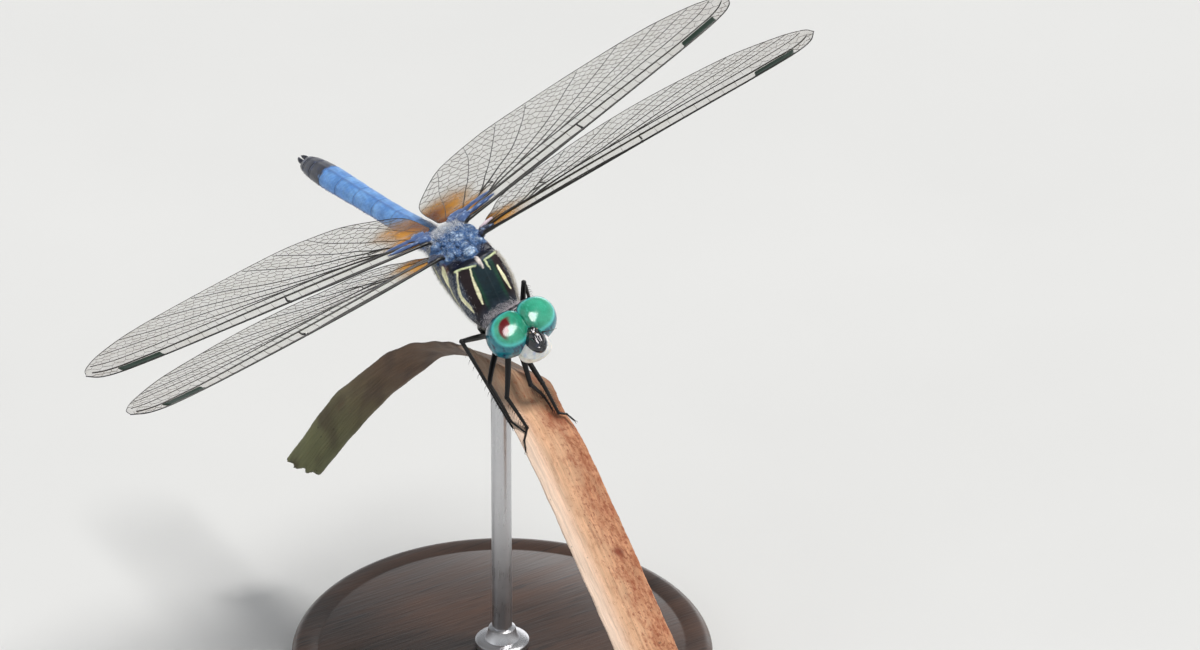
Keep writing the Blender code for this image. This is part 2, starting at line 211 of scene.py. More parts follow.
def piece(name, heap, material, replaces=(), crease=None):
    """Makes the visible piece and says what it rides on, stands for and takes its finish from."""
    mesh = bpy.data.meshes.new(name)
    mesh.from_pydata((np.vstack(heap.points) * MM).tolist(), [], heap.faces)
    work = bmesh.new()
    work.from_mesh(mesh)
    bmesh.ops.recalc_face_normals(work, faces=work.faces)
    work.to_mesh(mesh)
    work.free()
    tint = mesh.color_attributes.new("tint", "FLOAT_COLOR", "POINT")
    tint.data.foreach_set("color", np.vstack(heap.tints).astype(np.float32).ravel())
    if heap.unwraps:
        layer = mesh.uv_layers.new(name="OFBake")
        corner = np.empty(len(mesh.loops), np.int32)
        mesh.loops.foreach_get("vertex_index", corner)
        layer.data.foreach_set("uv", np.vstack(heap.unwraps).astype(np.float32)[corner].ravel())
    mesh.materials.append(material)
    mesh.shade_smooth()
    if crease:
        mesh.set_sharp_from_angle(angle=math.radians(crease))
    thing = placed(name, mesh)
    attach(thing, "root")
    if name in SHINY:
        bpy.data.collections["shine_on"].objects.link(thing)
    if name in EYES or name.endswith("_membrane"):
        matte = bpy.data.collections["glint_off"]
        matte.objects.link(thing)
        matte.collection_objects[-1].light_linking.link_state = "EXCLUDE"
    if replaces:
        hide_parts(*replaces)
    return thing


def quads(rows, columns):
    """Faces between neighbouring closed rings of points."""
    across = np.arange(columns)
    after = (across + 1) % columns
    base = (np.arange(rows - 1) * columns)[:, None]
    return np.stack((base + across, base + after, base + columns + after, base + columns + across),
                    axis=-1).reshape(-1, 4).tolist()


def closed(rings):
    """Points and faces of a closed body through rings of equal point counts."""
    rings = np.asarray(rings, float)
    rows, columns = rings.shape[:2]
    points = np.vstack((rings.reshape(-1, 3), rings[0].mean(0), rings[-1].mean(0)))
    faces = quads(rows, columns)
    last = (rows - 1) * columns
    for k in range(columns):
        after = (k + 1) % columns
        faces.append([k, after, rows * columns])
        faces.append([last + k, last + after, rows * columns + 1])
    return points, faces


def capped(values):
    """Values of a closed body's points, with those of its two end points added."""
    return np.vstack((values, values[0], values[-1]))


def sheet(upper, lower):
    """Rings round a sheet, from the grids of its upper and lower side."""
    return np.concatenate((upper, lower[:, ::-1]), axis=1)


POLE_GAP = 0.02


def ball(axes, centre, semi, rows, columns, tilt=0.0):
    """Ellipsoid in a body's axes, turned by tilt degrees about the body's up line."""
    polar = np.linspace(POLE_GAP, math.pi - POLE_GAP, rows)
    around = circle(columns)
    left, forward, up = (
        np.sin(polar)[:, None] * np.cos(around) * semi[0],
        np.sin(polar)[:, None] * np.sin(around) * semi[1],
        np.cos(polar)[:, None] * np.ones(columns) * semi[2],
    )
    turn = math.radians(tilt)
    turned = np.stack((left * math.cos(turn) - forward * math.sin(turn),
                       left * math.sin(turn) + forward * math.cos(turn), up), axis=-1)
    return closed(axes.at(turned + np.asarray(centre)))


def dot(spot, semi, rows, columns):
    """Ellipsoid at a stand place, in the stand's axes."""
    return ball(Axes(spot), (0, 0, 0), semi, rows, columns)


def tube(route, radii, sides):
    """Closed tube along a route, with one radius or one for each point."""
    radii = np.broadcast_to(np.asarray(radii, float), (len(route),))
    ahead = unit(np.gradient(route, axis=0))
    normal = np.cross(ahead[0], (0.31, 0.52, 0.79))
    rings = []
    around = circle(sides)
    for point, direction, radius in zip(route, ahead, radii):
        normal = normal - direction * (normal @ direction)
        normal /= np.linalg.norm(normal)
        side = np.cross(direction, normal)
        rings.append(point + radius * (np.cos(around)[:, None] * normal + np.sin(around)[:, None] * side))
    return closed(rings)


# A hair has two rings of three points and a tip
HAIR_FACES = ((0, 1, 4, 3), (3, 4, 6), (1, 2, 5, 4), (4, 5, 6), (2, 0, 3, 5), (5, 3, 6), (2, 1, 0))
HAIR_RINGS = ((-0.06, 1.0), (0.5, 0.7))
HAIR_UNWRAP = 0.0015 * np.array(((1, 0), (-0.5, 0.87), (-0.5, -0.87),
                                 (0.8, 0.2), (-0.5, 0.6), (-0.3, -0.8), (0, 0)))


def hairs(heap, axes, spots, directions, lengths, radius, colour, shade, places, droop=0.0):
    """Many tapered bent hairs at spots of a body. places are the roots' places on the skin's unwrap."""
    count = len(spots)
    roots = axes.at(spots)
    directions = unit(directions @ axes.frame)
    side = unit(np.cross(directions, (0.3, 0.5, 0.81)))
    other = np.cross(directions, side)
    bend = np.array((0.0, 0.0, -droop))
    lengths = lengths[:, None]
    around = circle(3)[None, :, None]
    ring = np.cos(around) * side[:, None, :] + np.sin(around) * other[:, None, :]
    rings = []
    for share, width in HAIR_RINGS:
        middle = roots + directions * (lengths * share) + bend * (lengths * share * abs(share))
        rings.append(middle[:, None, :] + (radius * width) * ring)
    tip = roots + directions * lengths + bend * lengths
    points = np.concatenate((*rings, tip[:, None, :]), axis=1)
    each = points.shape[1]
    faces = [[start + k for k in face] for start in range(0, count * each, each) for face in HAIR_FACES]
    tints = np.tile(colour, (count, 1))
    tints[:, :3] *= np.reshape(shade, (-1, 1))
    heap.add(points.reshape(-1, 3), faces, np.repeat(tints, each, axis=0),
             (places[:, None, :] + HAIR_UNWRAP).reshape(-1, 2))


# ---------------------------------------------------------------- materials
class Nodes:
    """A material's node tree with its Principled shader, and short ways to add nodes to it."""

    def __init__(self, name):
        self.material = bpy.data.materials.new(name)
        self.material.use_nodes = True
        self.tree = self.material.node_tree
        self.shader = self.tree.nodes["Principled BSDF"]
        self.coordinates = self.tree.nodes.new("ShaderNodeTexCoord").outputs["Object"]

    def plug(self, value, socket):
        if isinstance(value, bpy.types.NodeSocket):
            self.tree.links.new(value, socket)
        else:
            socket.default_value = value

    def add(self, kind, inputs=None, **settings):
        node = self.tree.nodes.new(kind)
        for key, value in settings.items():
            setattr(node, key, value)
        for key, value in (inputs or {}).items():
            self.plug(value, node.inputs[key])
        return node

    def finish(self, **values):
        for key, value in values.items():
            self.plug(value, self.shader.inputs[key.replace("_", " ")])
        return self.material

    def tint(self):
        return self.add("ShaderNodeAttribute", attribute_name="tint").outputs

    def scaled(self, scale, vector=None):
        return self.add("ShaderNodeMapping",
                        {"Vector": vector or self.coordinates, "Scale": scale}).outputs["Vector"]

    def texture(self, vector, scale, detail, roughness):
        return self.add("ShaderNodeTexNoise", {"Vector": vector, "Scale": scale, "Detail": detail,
                                               "Roughness": roughness}).outputs["Fac"]

    def noise(self, size, detail=3.0, roughness=0.55, vector=None):
        """Noise with lumps of about that size in mm."""
        return self.texture(vector or self.coordinates, 1 / MM / size, detail, roughness)

    def cells(self, size):
        return self.add("ShaderNodeTexVoronoi", {"Vector": self.coordinates,
                                                 "Scale": 1 / MM / size}).outputs["Distance"]

    def span(self, value, low, high, to_low, to_high):
        return self.add("ShaderNodeMapRange", {
            "Value": value, "From Min": low, "From Max": high, "To Min": to_low, "To Max": to_high,
        }).outputs["Result"]

    def vary(self, noise, to_low, to_high):
        """Spreads the middle values, where most of a noise lies, over the wanted ones."""
        return self.span(noise, 0.3, 0.7, to_low, to_high)

    def math(self, operation, a, b):
        return self.add("ShaderNodeMath", {0: a, 1: b}, operation=operation).outputs[0]

    def plus(self, a, b):
        return self.math("ADD", a, b)

    def times(self, a, b):
        return self.math("MULTIPLY", a, b)

    def dimmed(self, colour, factor):
        return self.add("ShaderNodeVectorMath", {0: colour, "Scale": factor}, operation="SCALE").outputs[0]

    def mix(self, factor, a, b):
        return self.add("ShaderNodeMix", {0: factor, 6: a, 7: b}, data_type="RGBA").outputs[2]

    def bump(self, height, depth, under=None):
        inputs = {"Height": height, "Distance": depth * MM, "Strength": 1.0}
        if under is not None:
            inputs["Normal"] = under
        return self.add("ShaderNodeBump", inputs).outputs["Normal"]


def painted(name, mottle, grain, bumps=(), facets=None, **values):
    """A surface coloured by its tint, broken up by two sizes of noise, with fine bumps.

    mottle and grain are (lumps' size in mm, strength), and bumps and facets (size, depth) in mm.
    """
    nodes = Nodes(name)
    tint = nodes.tint()
    broad, fine = (nodes.vary(nodes.noise(size), 1 - strength, 1 + strength)
                   for size, strength in (mottle, grain))
    values["Base_Color"] = nodes.dimmed(tint["Color"], nodes.times(broad, fine))
    values["Roughness"] = nodes.times(tint["Alpha"], fine)
    normal = None
    for size, depth in bumps:
        normal = nodes.bump(nodes.noise(size), depth, normal)
    if facets:
        normal = nodes.bump(nodes.cells(facets[0]), -facets[1], normal)
    if normal is not None:
        values["Normal"] = normal
    return nodes.finish(**values)


def membrane_material(name):
    """Clear skin: the tint's fourth number is its opacity."""
    nodes = Nodes(name)
    tint = nodes.tint()
    patchy = nodes.vary(nodes.noise(1.4, 4.0), 0.75, 1.25)
    return nodes.finish(
        Base_Color=nodes.dimmed(tint["Color"], patchy),
        Alpha=nodes.times(tint["Alpha"], patchy),
        Roughness=nodes.vary(nodes.noise(0.6), 0.1, 0.28),
        Normal=nodes.bump(nodes.noise(0.5), 0.02),
        IOR=1.6,
    )


def grass_material(name):
    """Dry grass: the tint's fourth number is how weathered it is."""
    nodes = Nodes(name)
    tint = nodes.tint()
    colour, wear = tint["Color"], tint["Alpha"]
    flow = nodes.add("ShaderNodeAttribute", attribute_name="flow").outputs["Vector"]
    # Lumps per mm across the blade, along it and from side to side, then detail and roughness
    fibre, streak, blot, grains, speck = (nodes.texture(nodes.scaled(scale, flow), 1.0, detail, roughness)
                                          for scale, detail, roughness in (
        ((9.0, 0.35, 1.0), 6.0, 0.65), ((1.6, 0.2, 1.0), 4.0, 0.6), ((1.5, 0.65, 1.0), 6.0, 0.75),
        ((4.2, 2.1, 1.0), 4.0, 0.7), ((2.2, 1.4, 4.0), 3.0, 0.6)))
    surface = nodes.dimmed(colour, nodes.times(nodes.span(fibre, 0.25, 0.75, 0.78, 1.2),
                                               nodes.vary(streak, 0.82, 1.15)))
    # Weathered side: rust blotches and grains, then a few dark specks
    rust = nodes.mix(0.55, nodes.dimmed(colour, 0.5), rgb(178, 84, 40, 1.0))
    worn = nodes.plus(blot, nodes.times(wear, 0.13))
    share = nodes.span(wear, 0.0, 0.5, 0.15, 1.0)
    surface = nodes.mix(nodes.times(nodes.span(worn, 0.55, 0.72, 0.0, 0.85), share), surface, rust)
    grainy = nodes.plus(grains, nodes.times(wear, 0.1))
    surface = nodes.mix(nodes.times(nodes.span(grainy, 0.6, 0.69, 0.0, 0.75), share), surface,
                        rgb(146, 72, 44, 1.0))
    dark = nodes.dimmed(colour, 0.22)
    surface = nodes.mix(nodes.span(speck, 0.66, 0.73, 0.0, 0.8), surface, dark)
    height = nodes.plus(fibre, nodes.times(streak, 0.6))
    return nodes.finish(Base_Color=surface, Roughness=nodes.vary(fibre, 0.55, 0.85),
                        Normal=nodes.bump(height, 0.06), Sheen_Weight=0.1)


def wood_material(name):
    nodes = Nodes(name)
    board = nodes.scaled((0.12, 1.0, 1.0))
    grain = nodes.noise(1.3, 6.0, 0.7, board)
    broad = nodes.noise(9.0, 3.0, 0.5, board)
    pores = nodes.noise(0.28, 2.0, 0.6, nodes.scaled((0.07, 1.0, 1.0)))
    colour = nodes.mix(nodes.span(nodes.plus(grain, broad), 0.75, 1.25, 0.0, 1.0),
                       rgb(33, 21, 15, 1.0), rgb(74, 48, 33, 1.0))
    colour = nodes.mix(nodes.span(pores, 0.6, 0.7, 0.0, 0.7), colour, rgb(16, 10, 8, 1.0))
    return nodes.finish(
        Base_Color=colour, Roughness=nodes.vary(grain, 0.34, 0.5),
        Normal=nodes.bump(nodes.plus(grain, pores), 0.03), Coat_Weight=0.35, Coat_Roughness=0.22)


def steel_material(name):
    nodes = Nodes(name)
    brushed = nodes.noise(0.05, 3.0, 0.6, nodes.scaled((1.0, 1.0, 0.02)))
    smear = nodes.noise(2.5, 4.0)
    return nodes.finish(
        Base_Color=nodes.mix(smear, (0.5, 0.5, 0.52, 1.0), (0.66, 0.66, 0.67, 1.0)), Metallic=1.0,
        Roughness=nodes.span(nodes.plus(brushed, smear), 0.6, 1.4, 0.2, 0.42),
        Normal=nodes.bump(brushed, 0.004))


def floor_material(name):
    nodes = Nodes(name)
    soft = nodes.noise(60.0, 4.0)
    return nodes.finish(Base_Color=nodes.mix(soft, (0.70, 0.70, 0.69, 1.0), (0.76, 0.76, 0.75, 1.0)),
                        Roughness=nodes.vary(soft, 0.55, 0.7), Normal=nodes.bump(nodes.noise(1.2), 0.01))


# ---------------------------------------------------------------- camera, lights, floor
AZIMUTH = math.radians(-31.7)
ELEVATION = math.radians(30.0)
# The camera's distance from the wing point, and its sensor's width
DISTANCE = 900.0
SENSOR = 36.0
# Width of the view at the wing point, and how far right of and below that point the camera aims
VIEW_WIDTH = 100.2506
AIM_RIGHT = 11.3617
AIM_DOWN = 6.7251
SCREEN_RIGHT = np.array((math.cos(AZIMUTH), math.sin(AZIMUTH), 0.0))
SIGHT = np.array((-math.sin(AZIMUTH) * math.cos(ELEVATION), math.cos(AZIMUTH) * math.cos(ELEVATION),
                  -math.sin(ELEVATION)))
SCREEN_UP = np.cross(SCREEN_RIGHT, SIGHT)
KEY_FROM = (0.38, 0.75, -0.51)
KEY_DISTANCE = 700.0
SUNLIGHT = (1.0, 0.985, 0.96)
# The floor's half width and its depth below the stand, in metres
FLOOR_REACH = 6.0
FLOOR_DROP = 0.0001


def look(thing, eye, target):
    """Places a thing at eye (mm) with its -Z towards target."""
    thing.location = Vector(eye * MM)
    thing.rotation_euler = Vector(target - eye).to_track_quat("-Z", "Y").to_euler()


def make_camera():
    data = bpy.data.cameras.new("camera")
    data.sensor_width = SENSOR
    data.lens = SENSOR * DISTANCE / VIEW_WIDTH
    data.clip_start = 0.01
    data.clip_end = 20.0
    camera = placed("camera", data)
    look(camera, WING_POINT - SIGHT * DISTANCE, WING_POINT + SCREEN_RIGHT * AIM_RIGHT - SCREEN_UP * AIM_DOWN)
    bpy.context.scene.camera = camera


def lamp(name, kind, direction, distance, power, colour, **settings):
    """A light that shines at the wing point from a direction: shares of right, up and away in the view."""
    right, up, away = direction
    data = bpy.data.lights.new(name, kind)
    data.energy = power
    data.color = colour
    for key, value in settings.items():
        setattr(data, key, value)
    light = placed(name, data)
    way = unit(SCREEN_RIGHT * right + SCREEN_UP * up + SIGHT * away)
    look(light, WING_POINT + way * distance, WING_POINT)
    return light


def round_lamp(name, direction, distance, size, power, colour=(1.0, 1.0, 1.0)):
    """A disc of light, size mm across."""
    return lamp(name, "AREA", direction, distance, power, colour, shape="DISK", size=size * MM)


def make_studio():
    key = lamp("key", "SUN", KEY_FROM, KEY_DISTANCE, 2.5, SUNLIGHT, angle=math.radians(14.0))
    key.visible_glossy = False
    round_lamp("fill", (-0.9, 0.35, -0.6), 1100.0, 900.0, 1.6, (0.93, 0.97, 1.0))
    round_lamp("back", (0.3, 0.6, 0.9), 1100.0, 700.0, 1.6)
    # A round soft light beside the camera that only the eyes and the forehead reflect
    shine = round_lamp("shine", (0.2, 0.06, -1.0), 1000.0, 1000.0, 40.0, (1.0, 0.93, 0.95))
    shine.visible_camera = shine.visible_diffuse = shine.visible_transmission = False
    shine.light_linking.receiver_collection = bpy.data.collections.new("shine_on")
    # The key's glint, on everything but the eyes and the wings' skins
    glint = round_lamp("glint", KEY_FROM, KEY_DISTANCE, 400.0, 5.0, SUNLIGHT)
    glint.visible_diffuse = False
    glint.light_linking.receiver_collection = bpy.data.collections.new("glint_off")
    # A sky that is brighter near the horizon
    world = bpy.data.worlds.new("world")
    world.use_nodes = True
    tree = world.node_tree
    direction = tree.nodes.new("ShaderNodeTexCoord").outputs["Generated"]
    parts = tree.nodes.new("ShaderNodeSeparateXYZ")
    ramp = tree.nodes.new("ShaderNodeMapRange")
    ramp.interpolation_type = "SMOOTHSTEP"
    for socket, value in (("From Min", 0.06), ("From Max", 0.5), ("To Min", 0.8), ("To Max", 0.3)):
        ramp.inputs[socket].default_value = value
    background = tree.nodes["Background"].inputs
    tree.links.new(direction, parts.inputs[0])
    tree.links.new(parts.outputs["Z"], ramp.inputs["Value"])
    tree.links.new(ramp.outputs["Result"], background["Strength"])
    background["Color"].default_value = (0.95, 0.97, 1.0, 1.0)
    bpy.context.scene.world = world
    bpy.context.scene.view_settings.view_transform = "Standard"
    mesh = bpy.data.meshes.new("floor")
    corners = ((-1, -1), (1, -1), (1, 1), (-1, 1))
    mesh.from_pydata([(x * FLOOR_REACH, y * FLOOR_REACH, -FLOOR_DROP) for x, y in corners],
                     [], [(0, 1, 2, 3)])
    mesh.materials.append(floor_material("floor"))
    placed("floor", mesh)


# ---------------------------------------------------------------- wings
FORE = {
    "length": 32.25, "base": (2.25, 0.0, 0.0), "nodus": 0.466, "stigma": (0.806, 0.923),
    "lead": ((0.0, 0.1), (0.1, -0.05), (0.28, -0.15), (0.466, -0.1), (0.66, 0.0), (0.806, 0.1), (0.92, 0.4),
             (0.975, 1.15), (1.0, 2.6)),
    "trail": ((0.0, 1.25), (0.045, 3.2), (0.12, 5.6), (0.28, 6.8), (0.45, 7.25), (0.62, 7.45), (0.78, 7.1),
              (0.91, 5.7), (0.98, 4.0)),
    # Long veins from the front backwards, each with its thickness at base and tip
    "veins": (
        ("Sc", ((0.0, 0.4), (0.12, 0.42), (0.28, 0.42), (0.4, 0.36), (0.455, 0.18), (0.466, -0.1)),
         0.07, 0.05),
        ("R1", ((0.0, 0.8), (0.06, 1.0), (0.15, 1.12), (0.3, 1.2), (0.466, 1.15), (0.6, 1.12), (0.75, 1.1),
                (0.806, 1.12), (0.87, 1.28), (0.923, 1.5), (0.96, 2.0), (0.985, 2.8)), 0.13, 0.06),
        ("RP1", ((0.13, 1.1), (0.18, 1.75), (0.3, 2.2), (0.466, 2.3), (0.65, 2.35), (0.8, 2.5), (0.92, 3.1),
                 (0.975, 3.9)), 0.085, 0.035),
        ("RP2", ((0.44, 2.3), (0.52, 2.75), (0.65, 3.2), (0.78, 3.75), (0.88, 4.5), (0.95, 5.2)), 0.05, 0.03),
        ("IR2", ((0.36, 2.25), (0.45, 3.0), (0.6, 3.8), (0.75, 4.7), (0.85, 5.7), (0.91, 6.2)), 0.055, 0.03),
        ("RP3", ((0.27, 2.1), (0.36, 2.95), (0.5, 4.15), (0.65, 5.5), (0.76, 6.7), (0.8, 7.4)), 0.06, 0.03),
        ("MA", ((0.13, 1.5), (0.2, 2.5), (0.32, 3.6), (0.45, 4.9), (0.58, 6.4), (0.66, 7.7)), 0.075, 0.03),
        ("MP", ((0.0, 1.05), (0.08, 1.5), (0.13, 1.9), (0.165, 2.6), (0.19, 3.4), (0.28, 4.6), (0.38, 6.0),
                (0.46, 7.5)), 0.11, 0.03),
        ("CuA", ((0.19, 3.4), (0.23, 4.8), (0.28, 6.2), (0.31, 7.1)), 0.06, 0.03),
        ("A", ((0.0, 1.15), (0.06, 2.2), (0.12, 3.4), (0.16, 4.6), (0.19, 5.8), (0.2, 6.5)), 0.075, 0.03),
    ),
    "bars": (((0.13, 1.1), (0.128, 1.9)), ((0.165, 2.45), (0.205, 2.7)), ((0.205, 2.7), (0.188, 3.5))),
}
HIND = {
    "length": 31.0, "base": (2.15, -2.3, -0.3), "nodus": 0.414, "stigma": (0.794, 0.915),
    "lead": ((0.0, 0.1), (0.1, 0.0), (0.25, -0.05), (0.414, 0.0), (0.62, 0.05), (0.794, 0.15), (0.915, 0.45),
             (0.972, 1.1), (1.0, 2.4)),
    "trail": ((0.0, 2.6), (0.02, 7.2), (0.11, 10.2), (0.26, 10.6), (0.42, 10.0), (0.6, 9.1), (0.77, 7.8),
              (0.905, 6.0), (0.98, 3.9)),
    "veins": (
        ("Sc", ((0.0, 0.4), (0.12, 0.45), (0.25, 0.45), (0.36, 0.36), (0.405, 0.2), (0.414, 0.0)),
         0.07, 0.05),
        ("R1", ((0.0, 0.8), (0.06, 1.05), (0.15, 1.18), (0.3, 1.22), (0.414, 1.2), (0.6, 1.15), (0.74, 1.15),
                (0.794, 1.18), (0.86, 1.32), (0.915, 1.55), (0.955, 2.0), (0.985, 2.7)), 0.13, 0.06),
        ("RP1", ((0.09, 1.1), (0.13, 1.75), (0.25, 2.25), (0.414, 2.35), (0.6, 2.4), (0.78, 2.6), (0.9, 3.1),
                 (0.97, 4.0)), 0.085, 0.035),
        ("RP2", ((0.38, 2.35), (0.48, 2.9), (0.62, 3.5), (0.78, 4.3), (0.88, 5.2), (0.94, 5.6)), 0.05, 0.03),
        ("IR2", ((0.3, 2.3), (0.42, 3.25), (0.55, 4.1), (0.7, 5.2), (0.82, 6.7), (0.87, 7.2)), 0.055, 0.03),
        ("RP3", ((0.22, 2.15), (0.34, 3.35), (0.48, 4.7), (0.62, 6.4), (0.74, 8.4)), 0.06, 0.03),
        ("MA", ((0.09, 1.4), (0.18, 2.6), (0.32, 4.1), (0.45, 5.9), (0.56, 8.0), (0.61, 9.4)), 0.075, 0.03),
        ("MP", ((0.0, 1.05), (0.06, 1.6), (0.1, 2.3), (0.14, 3.1), (0.25, 4.9), (0.36, 7.4), (0.44, 10.2)),
         0.11, 0.03),
        ("CuA", ((0.1, 2.3), (0.16, 4.4), (0.22, 6.4), (0.29, 8.8), (0.34, 10.7)), 0.06, 0.03),
        ("A", ((0.0, 1.15), (0.05, 2.3), (0.09, 4.1), (0.14, 6.3), (0.19, 8.6), (0.22, 10.8)), 0.075, 0.03),
        ("A2", ((0.0, 1.7), (0.035, 4.0), (0.06, 6.4), (0.09, 8.6), (0.115, 10.4)), 0.04, 0.03),
    ),
    "bars": (((0.09, 1.1), (0.088, 2.1)), ((0.1, 2.3), (0.145, 2.5)), ((0.145, 2.5), (0.135, 3.1))),
}
# name: (plan, side, sweep forward, raise, lift of the tip in mm, nose-up twist), with turns in degrees
WINGS = {
    "wing_fore_left": (FORE, 1, 12.9, 6.3, -0.55, 4.0),
    "wing_fore_right": (FORE, -1, 12.7, 6.5, 0.9, 4.0),
    "wing_hind_left": (HIND, 1, -4.5, 6.0, 0.0, 0.0),
    "wing_hind_right": (HIND, -1, -4.1, 6.0, 0.0, 0.0),
}
MEMBRANE = 0.03
# The left wings lie a little nearer the camera's plane than the solids allow, so they reach further
LEFT_REACH = 1.013
# Heights of the pleats, by mm behind the leading edge
PLEATS = ((0.0, 0.45, 1.15, 1.7, 2.4, 3.2, 4.2, 5.4, 7.0, 12.0),
          (0.02, -0.1, 0.16, 0.0, 0.09, -0.02, 0.05, -0.03, 0.02, -0.12))
# The hind wing's inner corner reaches in towards the body by this share of the length
LOBE = 0.05
# Sizes of the cells in the three bands behind the leading edge, and in all other bands; then those of the
# second band between the nodus and the stigma, and beyond the stigma
BAND_CELLS = (1.75, 1.75, 0.95)
CELL = 0.68
RADIAL_CELL = 1.35
TIP_CELL = 0.6
BLACK_VEIN = rgb(20, 17, 15, 0.32)
BROWN_VEIN = rgb(66, 52, 38, 0.45)


class Wing:
    """Places on one wing from (share of length, mm behind the line from its root to its tip)."""

    def __init__(self, name):
        self.name = name
        self.plan, self.side, sweep, rise, self.lift, twist = WINGS[name]
        self.hind = self.plan is HIND
        self.length = self.plan["length"] * (LEFT_REACH if self.side > 0 else 1.0)
        sweep, rise, twist = math.radians(sweep), math.radians(rise), math.radians(twist)
        left, forward, up = WING_AXES.frame
        across, front, high = self.plan["base"]
        self.base = THORAX_AXES.at((self.side * across, front, high))
        flat = left * (self.side * math.cos(sweep)) + forward * math.sin(sweep)
        self.span = flat * math.cos(rise) + up * math.sin(rise)
        chord = unit(self.span * (self.span @ forward) - forward)
        upward = np.cross(chord, self.span)
        upward = upward if upward @ up > 0 else -upward
        self.chord = unit(chord * math.cos(twist) - upward * math.sin(twist))
        normal = unit(np.cross(self.span, self.chord))
        self.normal = normal if normal @ up > 0 else -normal
        self.up = up
        self.edges = [spline(line, 16) for line in self.outline()]

    def outline(self):
        return self.plan["lead"], self.plan["trail"] + (self.plan["lead"][-1],)

    def lead(self, share):
        return np.interp(share, *self.edges[0].T)

    def trail(self, share):
        return np.interp(share, *self.edges[1].T)

    def pleat(self, share, behind):
        """Height of the pleated surface: ridges at the costa and radius, valleys between."""
        inner = behind - self.lead(share)
        fade = within(share, 0.0, 0.05, 0.8, 1.0)
        billow = 0.12 * np.sin(share * 9.0 + inner * 0.5) * smooth(inner, 1.5, 6.0)
        return np.interp(inner, *PLEATS) * fade + billow * smooth(share, 0.1, 0.3)

    def at(self, share, behind, height=0.0):
        share, behind = np.asarray(share, float), np.asarray(behind, float)
        rise = self.pleat(share, behind) + height
        if self.hind:
            share = share - LOBE * within(behind, 0.9, 3.0, 7.0, 10.5) * np.clip(1 - share / 0.17, 0, 1) ** 2
        return (self.base + share[..., None] * self.span * self.length + behind[..., None] * self.chord
                + rise[..., None] * self.normal + (self.lift * share ** 2)[..., None] * self.up)

    def tube(self, places, radii, sides):
        return tube(self.at(*np.transpose(places)), radii, sides)


def ordered_veins(wing):
    """Each long vein as a function of the share, kept behind the one before it and inside the margin."""
    shares = np.linspace(0.0, 0.995, 400)
    front = wing.lead(shares)
    rear = wing.trail(shares)
    rows = [front]
    for name, points, *_ in wing.plan["veins"]:
        start, end = points[0][0], points[-1][0]
        behind = np.interp(shares, *spline(points, 10).T)
        behind = np.where(shares < start, rows[-1], np.where(shares > end, np.inf, behind))
        if name == "Sc":
            behind = np.where(shares > end, front, behind)
        rows.append(np.minimum(np.maximum(behind, rows[-1]), rear))
    rows.append(rear)
    return shares, rows


def cell_centres(along, front, rear, size, draw):
    """Loosely even rows of places between two veins."""
    step = size * 0.95
    centres = []
    x = along[0] + step * 0.5
    while x < along[-1]:
        width = np.interp(x, along, rear - front)
        if width > 0.16:
            rows = max(1, int(round(width / size)))
            many = rows > 1
            for j in range(rows):
                shift, stray = draw.uniform(-0.16, 0.16, 2)
                off = (0.25 if j % 2 else -0.25) * step if many else 0.0
                sx = x + off + shift * step * (1.0 if many else 0.7)
                sy = np.interp(x, along, front) + width * ((j + 0.5 + (stray * 0.8 if many else 0.0)) / rows)
                low, high = np.interp(sx, along, front), np.interp(sx, along, rear)
                if high - low > 0.14:
                    edge = 0.08 * (high - low)
                    centres.append((sx, min(max(sy, low + edge), high - edge)))
        x += step
    return centres


def round_centre(a, b, c):
    """Centre of the circle through three places, or None where they lie on a line."""
    (ax, ay), (bx, by), (cx, cy) = a, b, c
    d = 2 * (ax * (by - cy) + bx * (cy - ay) + cx * (ay - by))
    if abs(d) < 1e-9:
        return None
    a2, b2, c2 = ax * ax + ay * ay, bx * bx + by * by, cx * cx + cy * cy
    return ((a2 * (by - cy) + b2 * (cy - ay) + c2 * (ay - by)) / d,
            (a2 * (cx - bx) + b2 * (ax - cx) + c2 * (bx - ax)) / d)


def band_cells(along, front, rear, size, draw):
    """Edges of the cells between two veins, as pairs of (mm along, mm behind)."""
    seeds = cell_centres(along, front, rear, size, draw)
    if len(seeds) < 2:
        return []
    # Each centre is mirrored in both veins, so that the cells end there
    points = [Vector(seed) for seed in seeds]
    slopes = [np.gradient(edge, along) for edge in (front, rear)]
    for sx, sy in seeds:
        for edge, edge_slopes in zip((front, rear), slopes):
            slope = np.clip(np.interp(sx, along, edge_slopes), -4, 4)
            gap = (np.interp(sx, along, edge) - sy) / (1 + slope * slope)
            points.append(Vector((sx - 2 * gap * slope, sy + 2 * gap)))
    places, _, triangles, origins, _, _ = delaunay_2d_cdt(points, [], [], 0, 1e-6)
    real = [bool(origin) and min(origin) < len(seeds) for origin in origins]
    centres = [round_centre(*(places[k] for k in triangle)) for triangle in triangles]
    by_edge = {}
    for centre, (a, b, c) in zip(centres, triangles):
        for pair in ((a, b), (b, c), (c, a)):
            if centre and real[pair[0]] and real[pair[1]]:
                by_edge.setdefault(tuple(sorted(pair)), []).append(centre)
    edges = []
    for pair in by_edge.values():
        if len(pair) != 2:
            continue
        ends = []
        for x, y in pair:
            x = min(max(x, along[0]), along[-1])
            ends.append((x, min(max(y, np.interp(x, along, front)), np.interp(x, along, rear))))
        if 0.05 < math.dist(*ends) < 2.6 * size + 0.4:
            edges.append(ends)
    return edges


